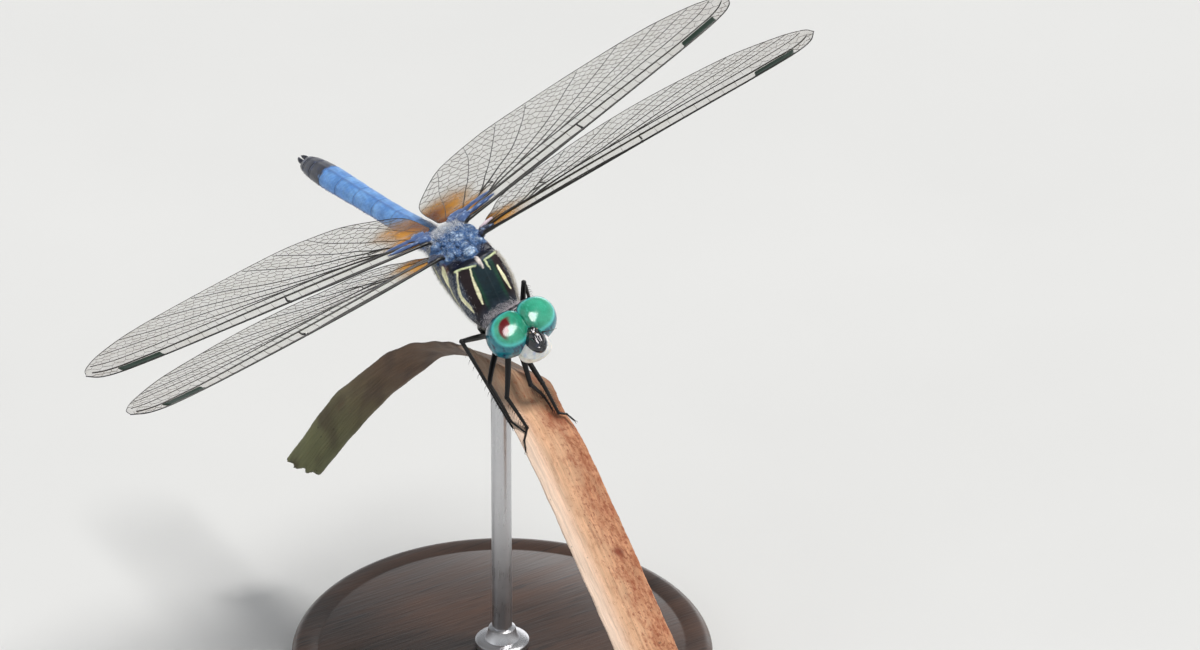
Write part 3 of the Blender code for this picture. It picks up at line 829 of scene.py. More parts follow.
def wing_skin(wing, membrane):
    """A thin closed sheet with the pleats of the veins, clear but for its amber and dark root; the forewings'
    dark root is painted shade.
    """
    columns = 40
    shares = np.concatenate((np.linspace(0.0, 0.03, 36, endpoint=False), np.linspace(0.03, 1.0, 120)))
    rows, ring = len(shares), 2 * columns
    front, rear = wing.lead(shares), wing.trail(shares)
    behind = front[:, None] + (rear - front)[:, None] * np.linspace(0, 1, columns) ** 1.35
    share = np.repeat(shares[:, None], columns, axis=1)
    points = sheet(wing.at(share, behind, MEMBRANE / 2), wing.at(share, behind, -MEMBRANE / 2)).reshape(-1, 3)
    faces = quads(rows, ring)
    last = (rows - 1) * ring
    for k in range(columns - 1):
        faces.append((k + 1, k, ring - 1 - k, ring - 2 - k))
        faces.append((last + k, last + k + 1, last + ring - 2 - k, last + ring - 1 - k))
    share, back = sheet(share, share).ravel(), sheet(behind, behind).ravel()
    along = share * wing.plan["length"]
    tint = blend(rgb(120, 112, 84, 0.13), rgb(118, 100, 72, 0.17), smooth(share, 0.55, 0.98))
    if wing.hind:
        along = along + 0.25 * np.sin(back * 2.4)
        amber = (1 - smooth(along, 1.2, 4.0)) * within(back, 0.1, 0.7, 4.6, 7.4)
        tint = blend(tint, rgb(206, 138, 0, 0.84), amber)
        dark = (1 - smooth(along, 0.2, 2.0)) * within(back, 1.0, 2.4, 4.4, 6.6)
        tint = blend(tint, rgb(96, 42, 0, 0.96), dark * 0.95)
    else:
        amber = (1 - smooth(along, 1.2, 5.5)) * within(back, 0.0, 0.5, 2.2, 3.6)
        tint = blend(tint, rgb(206, 140, 0, 0.7), amber)
        # Dark brown at the forewing's root: painted shade
        dark = (1 - smooth(along, 0.4, 2.6)) * smooth(back, 0.4, 1.0)
        tint = blend(tint, rgb(96, 48, 4, 0.92), dark * 0.85)
    heap = Heap()
    heap.add(points, faces, tint)
    piece(wing.name + "_membrane", heap, membrane, (wing.name,))


def wing_veins(wing, shares, lines, vein, draw):
    heap = Heap()
    plan = wing.plan
    lead, trail = (spline(line, 14) for line in wing.outline())
    margin = np.vstack((lead, trail[::-1][1:]))
    taper = np.interp(margin[:, 0], (0, 0.1, 0.45, 0.8, 1.0), (0.17, 0.12, 0.095, 0.075, 0.05))
    taper[len(lead):] = np.interp(margin[len(lead):, 0], (0, 0.5, 1.0), (0.034, 0.026, 0.034))
    heap.add(*wing.tube(margin, taper, 6), BLACK_VEIN)
    for (_, spots, thick, thin), row in zip(plan["veins"], lines[1:]):
        live = (shares >= spots[0][0]) & (shares <= spots[-1][0]) & (row < wing.trail(shares) - 0.01)
        if live.sum() < 4:
            continue
        picked = np.stack((shares[live], row[live]), axis=1)[::3]
        radii = stops(len(picked), (0, 0.4, 1.0), (thick, (thick + thin * 2) / 3, thin))
        heap.add(*wing.tube(picked, radii, 5), BLACK_VEIN)
    # The stems bend down into the body
    for back, thick in ((wing.lead(0.0), 0.17), (0.8, 0.14), (1.15, 0.1)):
        stem = wing.at((0.02, 0.0, -0.012, -0.02), (back, back, back + 0.1, back + 0.3),
                       np.array((0.0, 0.0, -0.22, -0.85)))
        heap.add(*tube(spline(stem, 5), stops(16, (0, 0.6, 1), (thick, thick, 0.7 * thick)), 8), BLACK_VEIN)
    for bar in plan["bars"]:
        heap.add(*wing.tube(bar, 0.05, 5), BLACK_VEIN)
    nodus, stigma = plan["nodus"], plan["stigma"]
    bar = ((nodus, wing.lead(nodus)), (nodus + 0.004, 0.6), (nodus + 0.002, 1.15))
    heap.add(*wing.tube(bar, (0.13, 0.09, 0.07), 6), BLACK_VEIN)
    # A small white ball on each forewing's nodus: a painted glint
    if not wing.hind:
        heap.add(*dot(wing.at(nodus + 0.001, wing.lead(nodus) + 0.16, 0.09), (0.1, 0.1, 0.08), 10, 14),
                 rgb(236, 236, 228, 0.5))
    # Cells, band by band
    before_nodus, after_nodus = shares < nodus - 0.004, shares > nodus + 0.004
    for band, (top, bottom) in enumerate(zip(lines, lines[1:])):
        spans = [(before_nodus if band < 2 else shares >= 0, BAND_CELLS[band] if band < 3 else CELL)]
        if band == 1:
            spans += [(after_nodus & (shares < stigma[0]), RADIAL_CELL), (shares > stigma[1], TIP_CELL)]
        for chosen, size in spans:
            if chosen.sum() < 4:
                continue
            for ends in band_cells(shares[chosen] * plan["length"], top[chosen], bottom[chosen], size, draw):
                line = np.stack((ends[0], np.mean(ends, axis=0), ends[1])) / (plan["length"], 1.0)
                fine = 0.02 if band < 2 else np.interp(line[1, 0], (0, 0.5, 1.0), (0.022, 0.017, 0.015))
                heap.add(*wing.tube(line, fine, 4), BLACK_VEIN if band == 2 else BROWN_VEIN)
    piece(wing.name + "_veins", heap, vein)


def wing_stigma(wing, line_shares, radius_line, stigma):
    """The thick dark cell near the tip, between the costa and the radius."""
    low, high = wing.plan["stigma"]
    shares = np.linspace(low, high, 30)
    front = wing.lead(shares)
    end = within(shares, low, low + 0.004, high - 0.004, high)[:, None]
    across = np.linspace(0, 1, 7)
    depth = (np.interp(shares, line_shares, radius_line) - front)[:, None]
    behind = front[:, None] + depth * (0.46 + (across - 0.5) * (0.66 + 0.06 * end))
    puff = 0.05 + 0.055 * np.sin(np.pi * across) * end
    share = np.repeat(shares[:, None], len(across), axis=1) + (across - 0.5) * 0.006
    rings = sheet(wing.at(share, behind, puff), wing.at(share, behind, -puff))
    heap = Heap()
    heap.add(*closed(rings), rgb(16, 42, 28, 0.55))
    piece(wing.name + "_stigma", heap, stigma)


ROOT_BLUE = rgb(50, 80, 134, 0.7)
ROOT_PALE = rgb(66, 96, 148, 0.75)
# A darker copy of the root blue for most of the forewings' plates: painted shade
ROOT_SHADED = rgb(30, 42, 72, 0.6)
# Plates at the wings' roots: place along the wing, ahead and up, semi-axes, colour, tilt, share of pale
# painted highlight on their bumps
HIND_PLATES = (
    (1.5, -1.62, 0.06, (1.9, 0.36, 0.17), ROOT_BLUE, 3, 0.9),
    (1.5, -0.72, 0.1, (1.8, 0.24, 0.16), ROOT_BLUE, 2, 0.9),
    (0.0, -2.0, 0.0, (0.9, 0.5, 0.26), ROOT_PALE, 20, 0.9),
    (-0.1, -0.9, 0.05, (0.8, 0.6, 0.3), ROOT_PALE, -10, 0.9),
    (-0.7, -1.4, -0.12, (0.8, 0.9, 0.34), ROOT_BLUE, 0, 0.9),
)
FORE_PLATES = (
    (0.45, -0.62, 0.06, (0.6, 0.2, 0.15), ROOT_SHADED, 3, 0.5),
    (0.1, -1.0, 0.0, (0.5, 0.4, 0.22), ROOT_SHADED, 15, 0.5),
    (-0.1, -0.35, 0.0, (0.4, 0.36, 0.25), ROOT_SHADED, -10, 0.5),
    (-0.5, -0.8, -0.2, (0.6, 0.7, 0.28), ROOT_BLUE, 0, 0.9),
)


def wing_root(wing, powder):
    """The powdered plates between the wing's stems."""
    heap = Heap()
    local = Axes(wing.base, wing.span * wing.side, -wing.chord, wing.normal)
    for along, ahead, high, semi, colour, tilt, strength in HIND_PLATES if wing.hind else FORE_PLATES:
        points, faces = ball(local, (wing.side * along, ahead, high), semi, 16, 26, tilt * wing.side)
        lumps = waves(points, 0.4, 5)
        swell = 0.16 * lumps + 0.08 * waves(points, 0.2, 6)
        points = points + (points - points.mean(axis=0)) * swell[:, None]
        # Pale painted highlights where the bumps swell out
        heap.add(points, faces, blend(colour, rgb(160, 188, 228, 0.8), smooth(lumps, 0.35, 1.1) * strength))
    if wing.name == "wing_fore_left":
        # A white streak and a fleck, as in the photo
        streak = wing.at(np.linspace(-0.004, 0.037, 9), np.linspace(1.14, 1.5, 9), 0.16)
        heap.add(*tube(streak, stops(9, (0, 0.5, 1), (0.1, 0.17, 0.1)), 8), rgb(216, 196, 205, 0.6))
        heap.add(*dot(wing.at(-0.024, 1.45, 0.12), (0.16, 0.13, 0.13), 12, 16), rgb(222, 220, 216, 0.6))
    piece(wing.name + "_root", heap, powder)


def make_wing(number, name, membrane, vein, stigma, powder):
    wing = Wing(name)
    shares, lines = ordered_veins(wing)
    wing_skin(wing, membrane)
    wing_veins(wing, shares, lines, vein, np.random.default_rng(SEED + number * 7))
    wing_stigma(wing, shares, lines[2], stigma)
    wing_root(wing, powder)


# ---------------------------------------------------------------- thorax
# Sections of thorax, collar and neck: place forward, top, bottom, half width
THORAX_STATIONS = (
    (-4.75, -3.1, -4.35, 0.6), (-4.3, -2.6, -4.7, 0.85),
    (-4.0, -2.3, -4.9, 1.05), (-3.7, -1.7, -5.3, 1.6), (-3.1, -0.8, -5.8, 2.1), (-2.3, -0.1, -6.25, 2.45),
    (-1.2, 0.25, -6.7, 2.7), (0.0, 0.3, -7.0, 2.8), (1.2, 0.15, -7.2, 2.85), (2.2, -0.2, -7.2, 2.85),
    (3.0, -1.15, -7.05, 2.8), (3.8, -2.2, -6.8, 2.55), (4.6, -3.3, -6.4, 2.1), (5.05, -3.95, -5.95, 1.5),
    (5.3, -4.1, -5.6, 1.05), (5.5, -3.8, -5.5, 1.12), (5.75, -3.6, -5.5, 1.3), (6.05, -3.75, -5.25, 1.05),
    (6.35, -3.85, -4.95, 0.72), (6.9, -3.6, -4.6, 0.6),
)
# Pale marks: line, half widths along it, colour, softness of the edge
CREAM = rgb(250, 247, 204)
GREENISH = rgb(214, 224, 176)
WHITE_MARK = rgb(224, 214, 208)
HAZE = rgb(206, 200, 190)
MARK_ROUGHNESS = 0.5
MARKS = (
    (((0.09, 1.55, 0.0), (0.13, 2.05, -0.25), (0.13, 2.53, -0.6)), (0.1, 0.17, 0.09), WHITE_MARK, 0.06),
    (((-1.89, 1.47, -0.63), (-1.2, 1.88, -0.4), (-0.44, 2.23, -0.28)), (0.1, 0.08, 0.07), GREENISH, 0.06),
    (((0.6, 2.2, -0.26), (1.3, 2.0, -0.5), (1.98, 1.74, -0.8)), (0.07, 0.08, 0.11), GREENISH, 0.06),
    (((-0.89, 2.23, -0.33), (-1.0, 2.5, -0.7), (-1.08, 2.75, -1.0), (-1.15, 3.4, -1.9), (-1.22, 4.14, -2.85)),
     (0.06, 0.07, 0.14, 0.17, 0.07), CREAM, 0.05),
    (((0.59, 2.21, -0.27), (0.64, 2.5, -0.62), (0.69, 2.83, -1.01)), (0.07, 0.075, 0.03), GREENISH, 0.06),
    (((1.43, 2.78, -1.15), (1.53, 3.4, -2.0), (1.65, 4.09, -3.02)), (0.1, 0.18, 0.09), CREAM, 0.05),
    (((-1.78, 1.62, -0.57), (-2.1, 2.0, -1.1), (-2.32, 2.36, -1.73), (-2.45, 2.5, -2.33), (-2.37, 2.91, -2.6),
      (-2.18, 3.59, -3.1), (-2.07, 3.95, -3.5)), (0.09, 0.09, 0.12, 0.3, 0.26, 0.2, 0.07), CREAM, 0.07),
    (((-2.22, 0.1, -1.2), (-2.36, 0.4, -1.7), (-2.46, 0.95, -2.6)), (0.22, 0.56, 0.2), CREAM, 0.1),
    (((-2.5, 1.0, -2.6), (-2.5, 1.7, -3.9), (-2.35, 2.3, -5.1)), (0.1, 0.22, 0.12), CREAM * 0.75, 0.15),
    (((-2.4, -1.5, -2.5), (-2.45, -0.4, -4.0), (-2.15, 0.8, -5.8)), (0.15, 0.32, 0.18), CREAM * 0.75, 0.15),
    (((1.9, 1.86, -0.75), (2.2, 2.3, -1.4), (2.38, 3.0, -2.4), (2.25, 3.8, -3.5), (1.95, 4.4, -4.4)),
     (0.1, 0.16, 0.24, 0.24, 0.14), HAZE, 0.12),
    (((2.46, 0.0, -1.9), (2.52, 1.0, -2.6), (2.5, 1.8, -3.9), (2.35, 2.4, -5.1)), (0.2, 0.3, 0.24, 0.12),
     CREAM * 0.8, 0.14),
    (((2.4, -1.5, -2.5), (2.45, -0.4, -4.0), (2.15, 0.8, -5.8)), (0.15, 0.32, 0.18), CREAM * 0.8, 0.15),
)
# Raised and sunk lines of the shell: line, height (sunk when negative), half width
FLANK_FOLDS = (
    (((2.1, 1.5, -0.9), (2.45, 2.1, -2.0), (2.45, 2.8, -3.3), (2.1, 3.6, -4.6), (1.6, 4.2, -5.6)), -0.1, 0.1),
    (((2.45, 0.3, -1.5), (2.6, 1.3, -3.0), (2.4, 2.2, -4.8), (1.8, 2.9, -6.5)), -0.12, 0.11),
    (((2.4, -1.7, -1.7), (2.55, -0.6, -3.4), (2.3, 0.5, -5.4), (1.7, 1.2, -6.7)), -0.12, 0.11),
)
FOLDS = (
    (((0.1, 1.7, 0.0), (0.13, 2.5, -0.6), (0.1, 3.6, -2.1), (0.05, 4.7, -3.6)), 0.1, 0.11),
    (((-2.0, 1.42, -0.7), (-1.2, 1.88, -0.4), (-0.3, 2.2, -0.28)), 0.12, 0.12),
    (((0.5, 2.15, -0.28), (1.3, 1.95, -0.48), (2.05, 1.68, -0.8)), 0.12, 0.12),
    (((-2.0, 0.95, -0.4), (-1.0, 1.35, -0.1), (0.0, 1.5, 0.0), (1.0, 1.35, -0.1), (2.0, 1.1, -0.5)),
     -0.22, 0.3),
) + tuple((np.array(line) * (side, 1, 1), height, half)
          for line, height, half in FLANK_FOLDS for side in (-1, 1))
# Plates on the back between the wings: centre, semi-axes, brightness (how much painted highlight the plate's
# top gets; it also raises the plate a little). Those to the left have a twin.
PLATES = (
    ((0.05, 0.88, 0.12), (0.62, 0.42, 0.3), 1.0), ((0.0, 0.12, 0.08), (0.42, 0.34, 0.24), 0.5),
    ((0.0, -0.85, 0.1), (0.72, 0.5, 0.28), 0.65), ((0.0, -1.75, -0.05), (0.5, 0.36, 0.26), 0.45),
    ((0.0, -2.55, -0.42), (0.66, 0.42, 0.3), 0.6), ((0.0, -3.25, -0.98), (0.6, 0.36, 0.25), 0.4),
    ((0.92, 0.2, 0.08), (0.32, 0.4, 0.24), 0.5), ((1.56, 0.08, 0.0), (0.36, 0.36, 0.28), 0.7),
    ((1.1, -0.5, 0.06), (0.4, 0.46, 0.24), 0.4), ((1.8, -0.75, -0.12), (0.36, 0.42, 0.24), 0.35),
    ((1.0, -1.5, 0.0), (0.4, 0.42, 0.24), 0.5), ((1.7, -1.75, -0.25), (0.42, 0.36, 0.26), 0.5),
    ((0.95, -2.4, -0.32), (0.38, 0.42, 0.26), 0.55), ((1.5, -2.75, -0.6), (0.42, 0.4, 0.26), 0.5),
    ((0.85, -3.15, -0.85), (0.34, 0.34, 0.22), 0.35),
)


# Painted shade for the hollow round the knobs on the back
PAINTED_HOLLOW_SHADE = rgb(14, 22, 52, 0.5)
THORAX_ROWS = 330
THORAX_COLUMNS = 288
# Edge of the left flank's haze, where long pale hairs stand
FRINGE = ((1.98, 1.8, -0.8), (2.25, 2.3, -1.4), (2.4, 3.0, -2.4), (2.28, 3.8, -3.5), (1.95, 4.4, -4.4))
BARE_PATCH = np.array((-2.46, 0.5, -2.15))


def thorax_grid():
    """Skin of thorax, collar and neck as a grid of body places."""
    stations = resample(spline(THORAX_STATIONS, 12), THORAX_ROWS)
    angles = circle(THORAX_COLUMNS)
    across, along = np.sin(angles), np.cos(angles)
    power = np.where(along > 0, 2.0 / 2.5, 1.0)
    side = np.sign(across) * np.abs(across) ** power
    height = np.sign(along) * np.abs(along) ** power
    front, top, bottom, half = (stations[:, k][:, None] for k in range(4))
    return np.stack((
        half * (1 - 0.3 * (1 - height) / 2) * side,
        np.broadcast_to(front, (THORAX_ROWS, THORAX_COLUMNS)),
        (top + bottom) / 2 + (top - bottom) / 2 * height,
    ), axis=-1)


def grid_normals(grid):
    """Outward directions of a grid of rings, as a list of places."""
    around = np.roll(grid, -1, axis=1) - np.roll(grid, 1, axis=1)
    normal = np.cross(around, np.gradient(grid, axis=0))
    normal /= np.maximum(np.linalg.norm(normal, axis=-1), 1e-9)[..., None]
    inward = ((grid - grid.mean(axis=1, keepdims=True)) * normal).sum(-1).mean() < 0
    return (-normal if inward else normal).reshape(-1, 3)


def unwrapped(grid):
    """Places from 0 to 1 along and round a grid of rings."""
    rows, columns = grid.shape[:2]
    return np.stack(np.meshgrid(np.arange(rows) / rows, np.arange(columns) / columns, indexing="ij"),
                    axis=-1).reshape(-1, 2)


def on_surface(line, places):
    """The line with its points moved to the nearest places of the surface, and smoothed."""
    route = resample(spline(line, 12), 40)
    line = np.array([places[np.argmin(((places - spot) ** 2).sum(axis=1))] for spot in route])
    for _ in range(6):
        line[1:-1] = (line[:-2] + line[1:-1] * 2 + line[2:]) / 4
    return line


def thorax_tint(places):
    left, forward, up = places.T
    crest = 2.3 - 0.33 * np.abs(left)
    front = smooth(forward - crest, -0.05, 0.1) * smooth(5.35 - forward, 0.0, 0.25)
    speckle = waves(places, 0.8, 3) * 0.5 + waves(places, 0.3, 4) * 0.5
    tint = blend(rgb(52, 62, 80, 0.5), rgb(112, 124, 138, 0.6), smooth(speckle, -0.1, 0.9) * 0.6)
    # Front: a dark teal panel on each side of the ridge, then a maroon-black one
    ridge = np.abs(left - 0.1)
    panel = blend(rgb(30, 13, 18, 0.5), rgb(16, 40, 48, 0.48), 1 - smooth(ridge, 1.0, 1.2))
    panel = blend(panel, rgb(24, 70, 48, 0.5), bell(ridge - 0.95, 0.16) * smooth(forward, 2.1, 2.6) * 0.8)
    panel = blend(panel, rgb(62, 70, 84, 0.5), smooth(forward, 4.1, 4.8) * 0.7)
    tint = blend(tint, panel, front * (1 - smooth(np.abs(left), 1.9, 2.25)))
    # Back: powder blue, behind a dark furrow that widens towards the sides
    behind = crest - forward
    past_furrow = behind - 0.45 * smooth(np.abs(left), 1.0, 1.6)
    powder = blend(rgb(62, 96, 146, 0.7), rgb(132, 166, 206, 0.75), smooth(speckle, -0.4, 0.7))
    tint = blend(tint, powder, smooth(up, -1.35, -0.75) * smooth(past_furrow, 0.55, 0.85))
    furrow = smooth(behind, 0.02, 0.15) * (1 - smooth(past_furrow, 0.6, 0.9)) * smooth(up, -1.2, -0.8)
    tint = blend(tint, rgb(16, 20, 34, 0.4), furrow)
    # Painted shade, tinted amber, at the wings' roots on the sides
    for forward_place, up_place in ((0.3, -1.25), (-1.9, -1.5)):
        for side in (-1, 1):
            gap = np.linalg.norm(places - np.array((side * 2.3, forward_place, up_place)), axis=1)
            tint = blend(tint, rgb(112, 62, 22, 0.5), (1 - smooth(gap, 0.25, 0.8)) * 0.8)
    # Underside: grey-brown with a bloom
    tint = blend(tint, rgb(84, 84, 80, 0.7), smooth(-up, 5.6, 6.6) * 0.7)
    # Pale marks
    wobble = waves(places, 0.35, 11) * 0.015
    for line, halves, colour, soft in MARKS:
        gap, share = line_distance(places, on_surface(line, places))
        half = np.interp(share, np.linspace(0, 1, len(halves)), halves)
        tint = blend(tint, np.array((*colour[:3], MARK_ROUGHNESS)),
                     1 - smooth(gap + wobble, half - soft / 2, half + soft / 2))
    # Collar and neck
    neck = blend(rgb(30, 36, 56, 0.5), rgb(96, 104, 130, 0.6), smooth(speckle, 0.0, 0.9))
    return blend(tint, neck, smooth(forward, 5.25, 5.45))


def back_rise(places):
    """Height of the knobs and plates between the wings, and how much painted highlight the one at each place
    gets.
    """
    best = np.zeros(len(places))
    bright = np.zeros(len(places))
    on_back = smooth(places[:, 2], -2.0, -1.2)
    warp = places + np.stack([0.1 * waves(places, 0.8, 60 + k) + 0.05 * waves(places, 0.35, 70 + k)
                              for k in range(3)], axis=1)
    for centre, semi, light in PLATES:
        paired = centre[0] > 0.5
        for side in (1, -1) if paired else (1,):
            turn = math.radians(20 * side * paired)
            left, forward, _ = (warp - np.array(centre) * (side, 1, 1)).T
            across = left * math.cos(turn) + forward * math.sin(turn)
            along = forward * math.cos(turn) - left * math.sin(turn)
            reach = np.abs(across / semi[0] / 1.3) ** 2.4 + np.abs(along / semi[1] / 1.3) ** 2.4
            height = (semi[2] + 0.1 * light) * np.clip(1 - reach, 0, 1) ** 0.55 * on_back
            bright = np.where(height > best, light, bright)
            best = np.maximum(best, height)
    return best, bright


def make_thorax(skin, hair):
    grid = thorax_grid()
    outward = grid_normals(grid)
    flat = grid.reshape(-1, 3)
    rise = np.full(len(flat), -0.04)
    for line, height, half in FOLDS:
        gap, _ = line_distance(flat, on_surface(line, flat))
        rise += height * bell(gap, half)
    left, forward, up = flat.T
    hollow = smooth(up, -0.7, -0.2) * smooth(1.5 - forward, 0.0, 0.4) * smooth(forward, -3.6, -3.0)
    knobs, bright = back_rise(flat)
    rise += knobs - 0.32 * hollow
    rise += 0.02 * waves(flat, 0.9, 8) + 0.012 * waves(flat, 0.35, 9)
    rise += hollow * (0.06 * np.abs(waves(flat, 0.55, 14)) + 0.045 * np.abs(waves(flat, 0.26, 15)))
    rise -= 0.07 * hollow * bell(waves(flat, 0.7, 10), 0.16)
    rise -= 0.1 * bell(forward - 5.3, 0.1)
    shaped = flat + outward * rise[:, None]
    # Powdered knobs in a hollow, with painted highlights on their tops and in small bright glints, and
    # painted shade in creases and in the hollow round them
    top = smooth(knobs + 0.05 * waves(flat, 0.22, 12), 0.2, 0.42)
    painted_knob_light = blend(rgb(66, 102, 150, 0.6), rgb(196, 220, 244, 0.5),
                np.clip(top * (0.3 + 0.8 * bright) * (0.6 + 0.9 * waves(flat, 0.42, 13)), 0, 1))
    painted_glints = smooth(waves(flat, 0.3, 16) + waves(flat, 0.17, 17), 0.45, 1.2)
    painted_knob_light = blend(painted_knob_light, rgb(226, 236, 248, 0.45), painted_glints * top * 0.9)
    painted_knob_light = blend(painted_knob_light, rgb(14, 26, 56, 0.5), bell(waves(flat, 0.5, 18), 0.17) * 0.6)
    painted_knob_light = blend(painted_knob_light, PAINTED_HOLLOW_SHADE, (1 - smooth(knobs, 0.02, 0.16)) * hollow)
    tint = blend(thorax_tint(flat), painted_knob_light, smooth(knobs, 0.01, 0.08))
    # Painted shade in the hollow beside the knobs
    tint = blend(tint, PAINTED_HOLLOW_SHADE, (1 - smooth(knobs, 0.0, 0.1)) * hollow * 0.75)
    heap = Heap()
    heap.add(*closed(THORAX_AXES.at(shaped).reshape(grid.shape)), capped(tint))
    piece("thorax_skin", heap, skin, ("thorax", "prothorax"))

    # Coat of short hairs
    draw = np.random.default_rng(SEED + 101)
    area = np.linalg.norm(np.cross(np.roll(grid, -1, axis=1) - grid, np.gradient(grid, axis=0)),
                          axis=-1).ravel()
    unwrap = unwrapped(grid)
    flank = smooth(np.abs(left), 1.7, 2.3) * smooth(-up, 0.6, 1.6) * smooth(5.0 - forward, 0.0, 0.6)
    flank *= smooth(np.linalg.norm(flat - BARE_PATCH, axis=1), 0.4, 0.9)
    collar = within(forward, 4.5, 5.0, 5.95, 6.3) * smooth(up, -5.3, -4.4)
    rear = smooth(-forward, 1.6, 2.6) * smooth(up, -2.4, -1.0)
    under = smooth(-up, 5.0, 6.2)
    saddle = smooth(up, -0.5, -0.1) * smooth(1.2 - forward, 0.0, 0.3)
    fringe = bell(line_distance(flat, on_surface(FRINGE, flat))[0], 0.22)
    heap = Heap()
    # where, count, length, radius, lean along the body, colour
    for weight, count, length, radius, lean, colour in (
            (fringe, 1300, 0.36, 0.0105, 0.5, rgb(248, 242, 232, 0.6)),
            (flank, 2600, 0.26, 0.0065, 0.9, rgb(236, 236, 232, 0.6)),
            (collar, 2600, 0.34, 0.0105, 0.6, rgb(250, 244, 250, 0.6)),
            (rear, 2000, 0.42, 0.0095, -0.9, rgb(244, 246, 250, 0.6)),
            (under, 2000, 0.3, 0.008, -0.5, rgb(208, 206, 200, 0.6)),
            (saddle, 700, 0.16, 0.006, -0.6, rgb(214, 226, 246, 0.6))):
        chance = weight * area
        chosen = draw.choice(len(flat), count, p=chance / chance.sum())
        direction = outward[chosen] + np.array((0.0, lean, -0.1)) + draw.normal(size=(count, 3)) * 0.35
        lengths = length * draw.uniform(0.6, 1.25, count)
        shade = draw.uniform(0.7, 1.1, count)
        hairs(heap, THORAX_AXES, shaped[chosen], direction, lengths, radius, colour, shade,
              unwrap[chosen], 0.25)
    piece("thorax_coat", heap, hair)


# ---------------------------------------------------------------- abdomen
# Segments from the base: length, half width, half height
SEGMENTS = ((0.95, 1.08, 1.08), (1.95, 1.14, 1.12), (3.3, 1.06, 0.92), (3.3, 1.05, 0.84), (3.2, 1.08, 0.84),
            (3.1, 1.14, 0.88), (2.8, 1.17, 0.91), (2.0, 1.08, 0.84), (1.3, 0.93, 0.72), (0.8, 0.72, 0.54))
ABDOMEN_START = 0.75
ABDOMEN_STEP = 0.07
ABDOMEN_COLUMNS = 120
# The last blue segment; those behind it are black
LAST_BLUE = 7


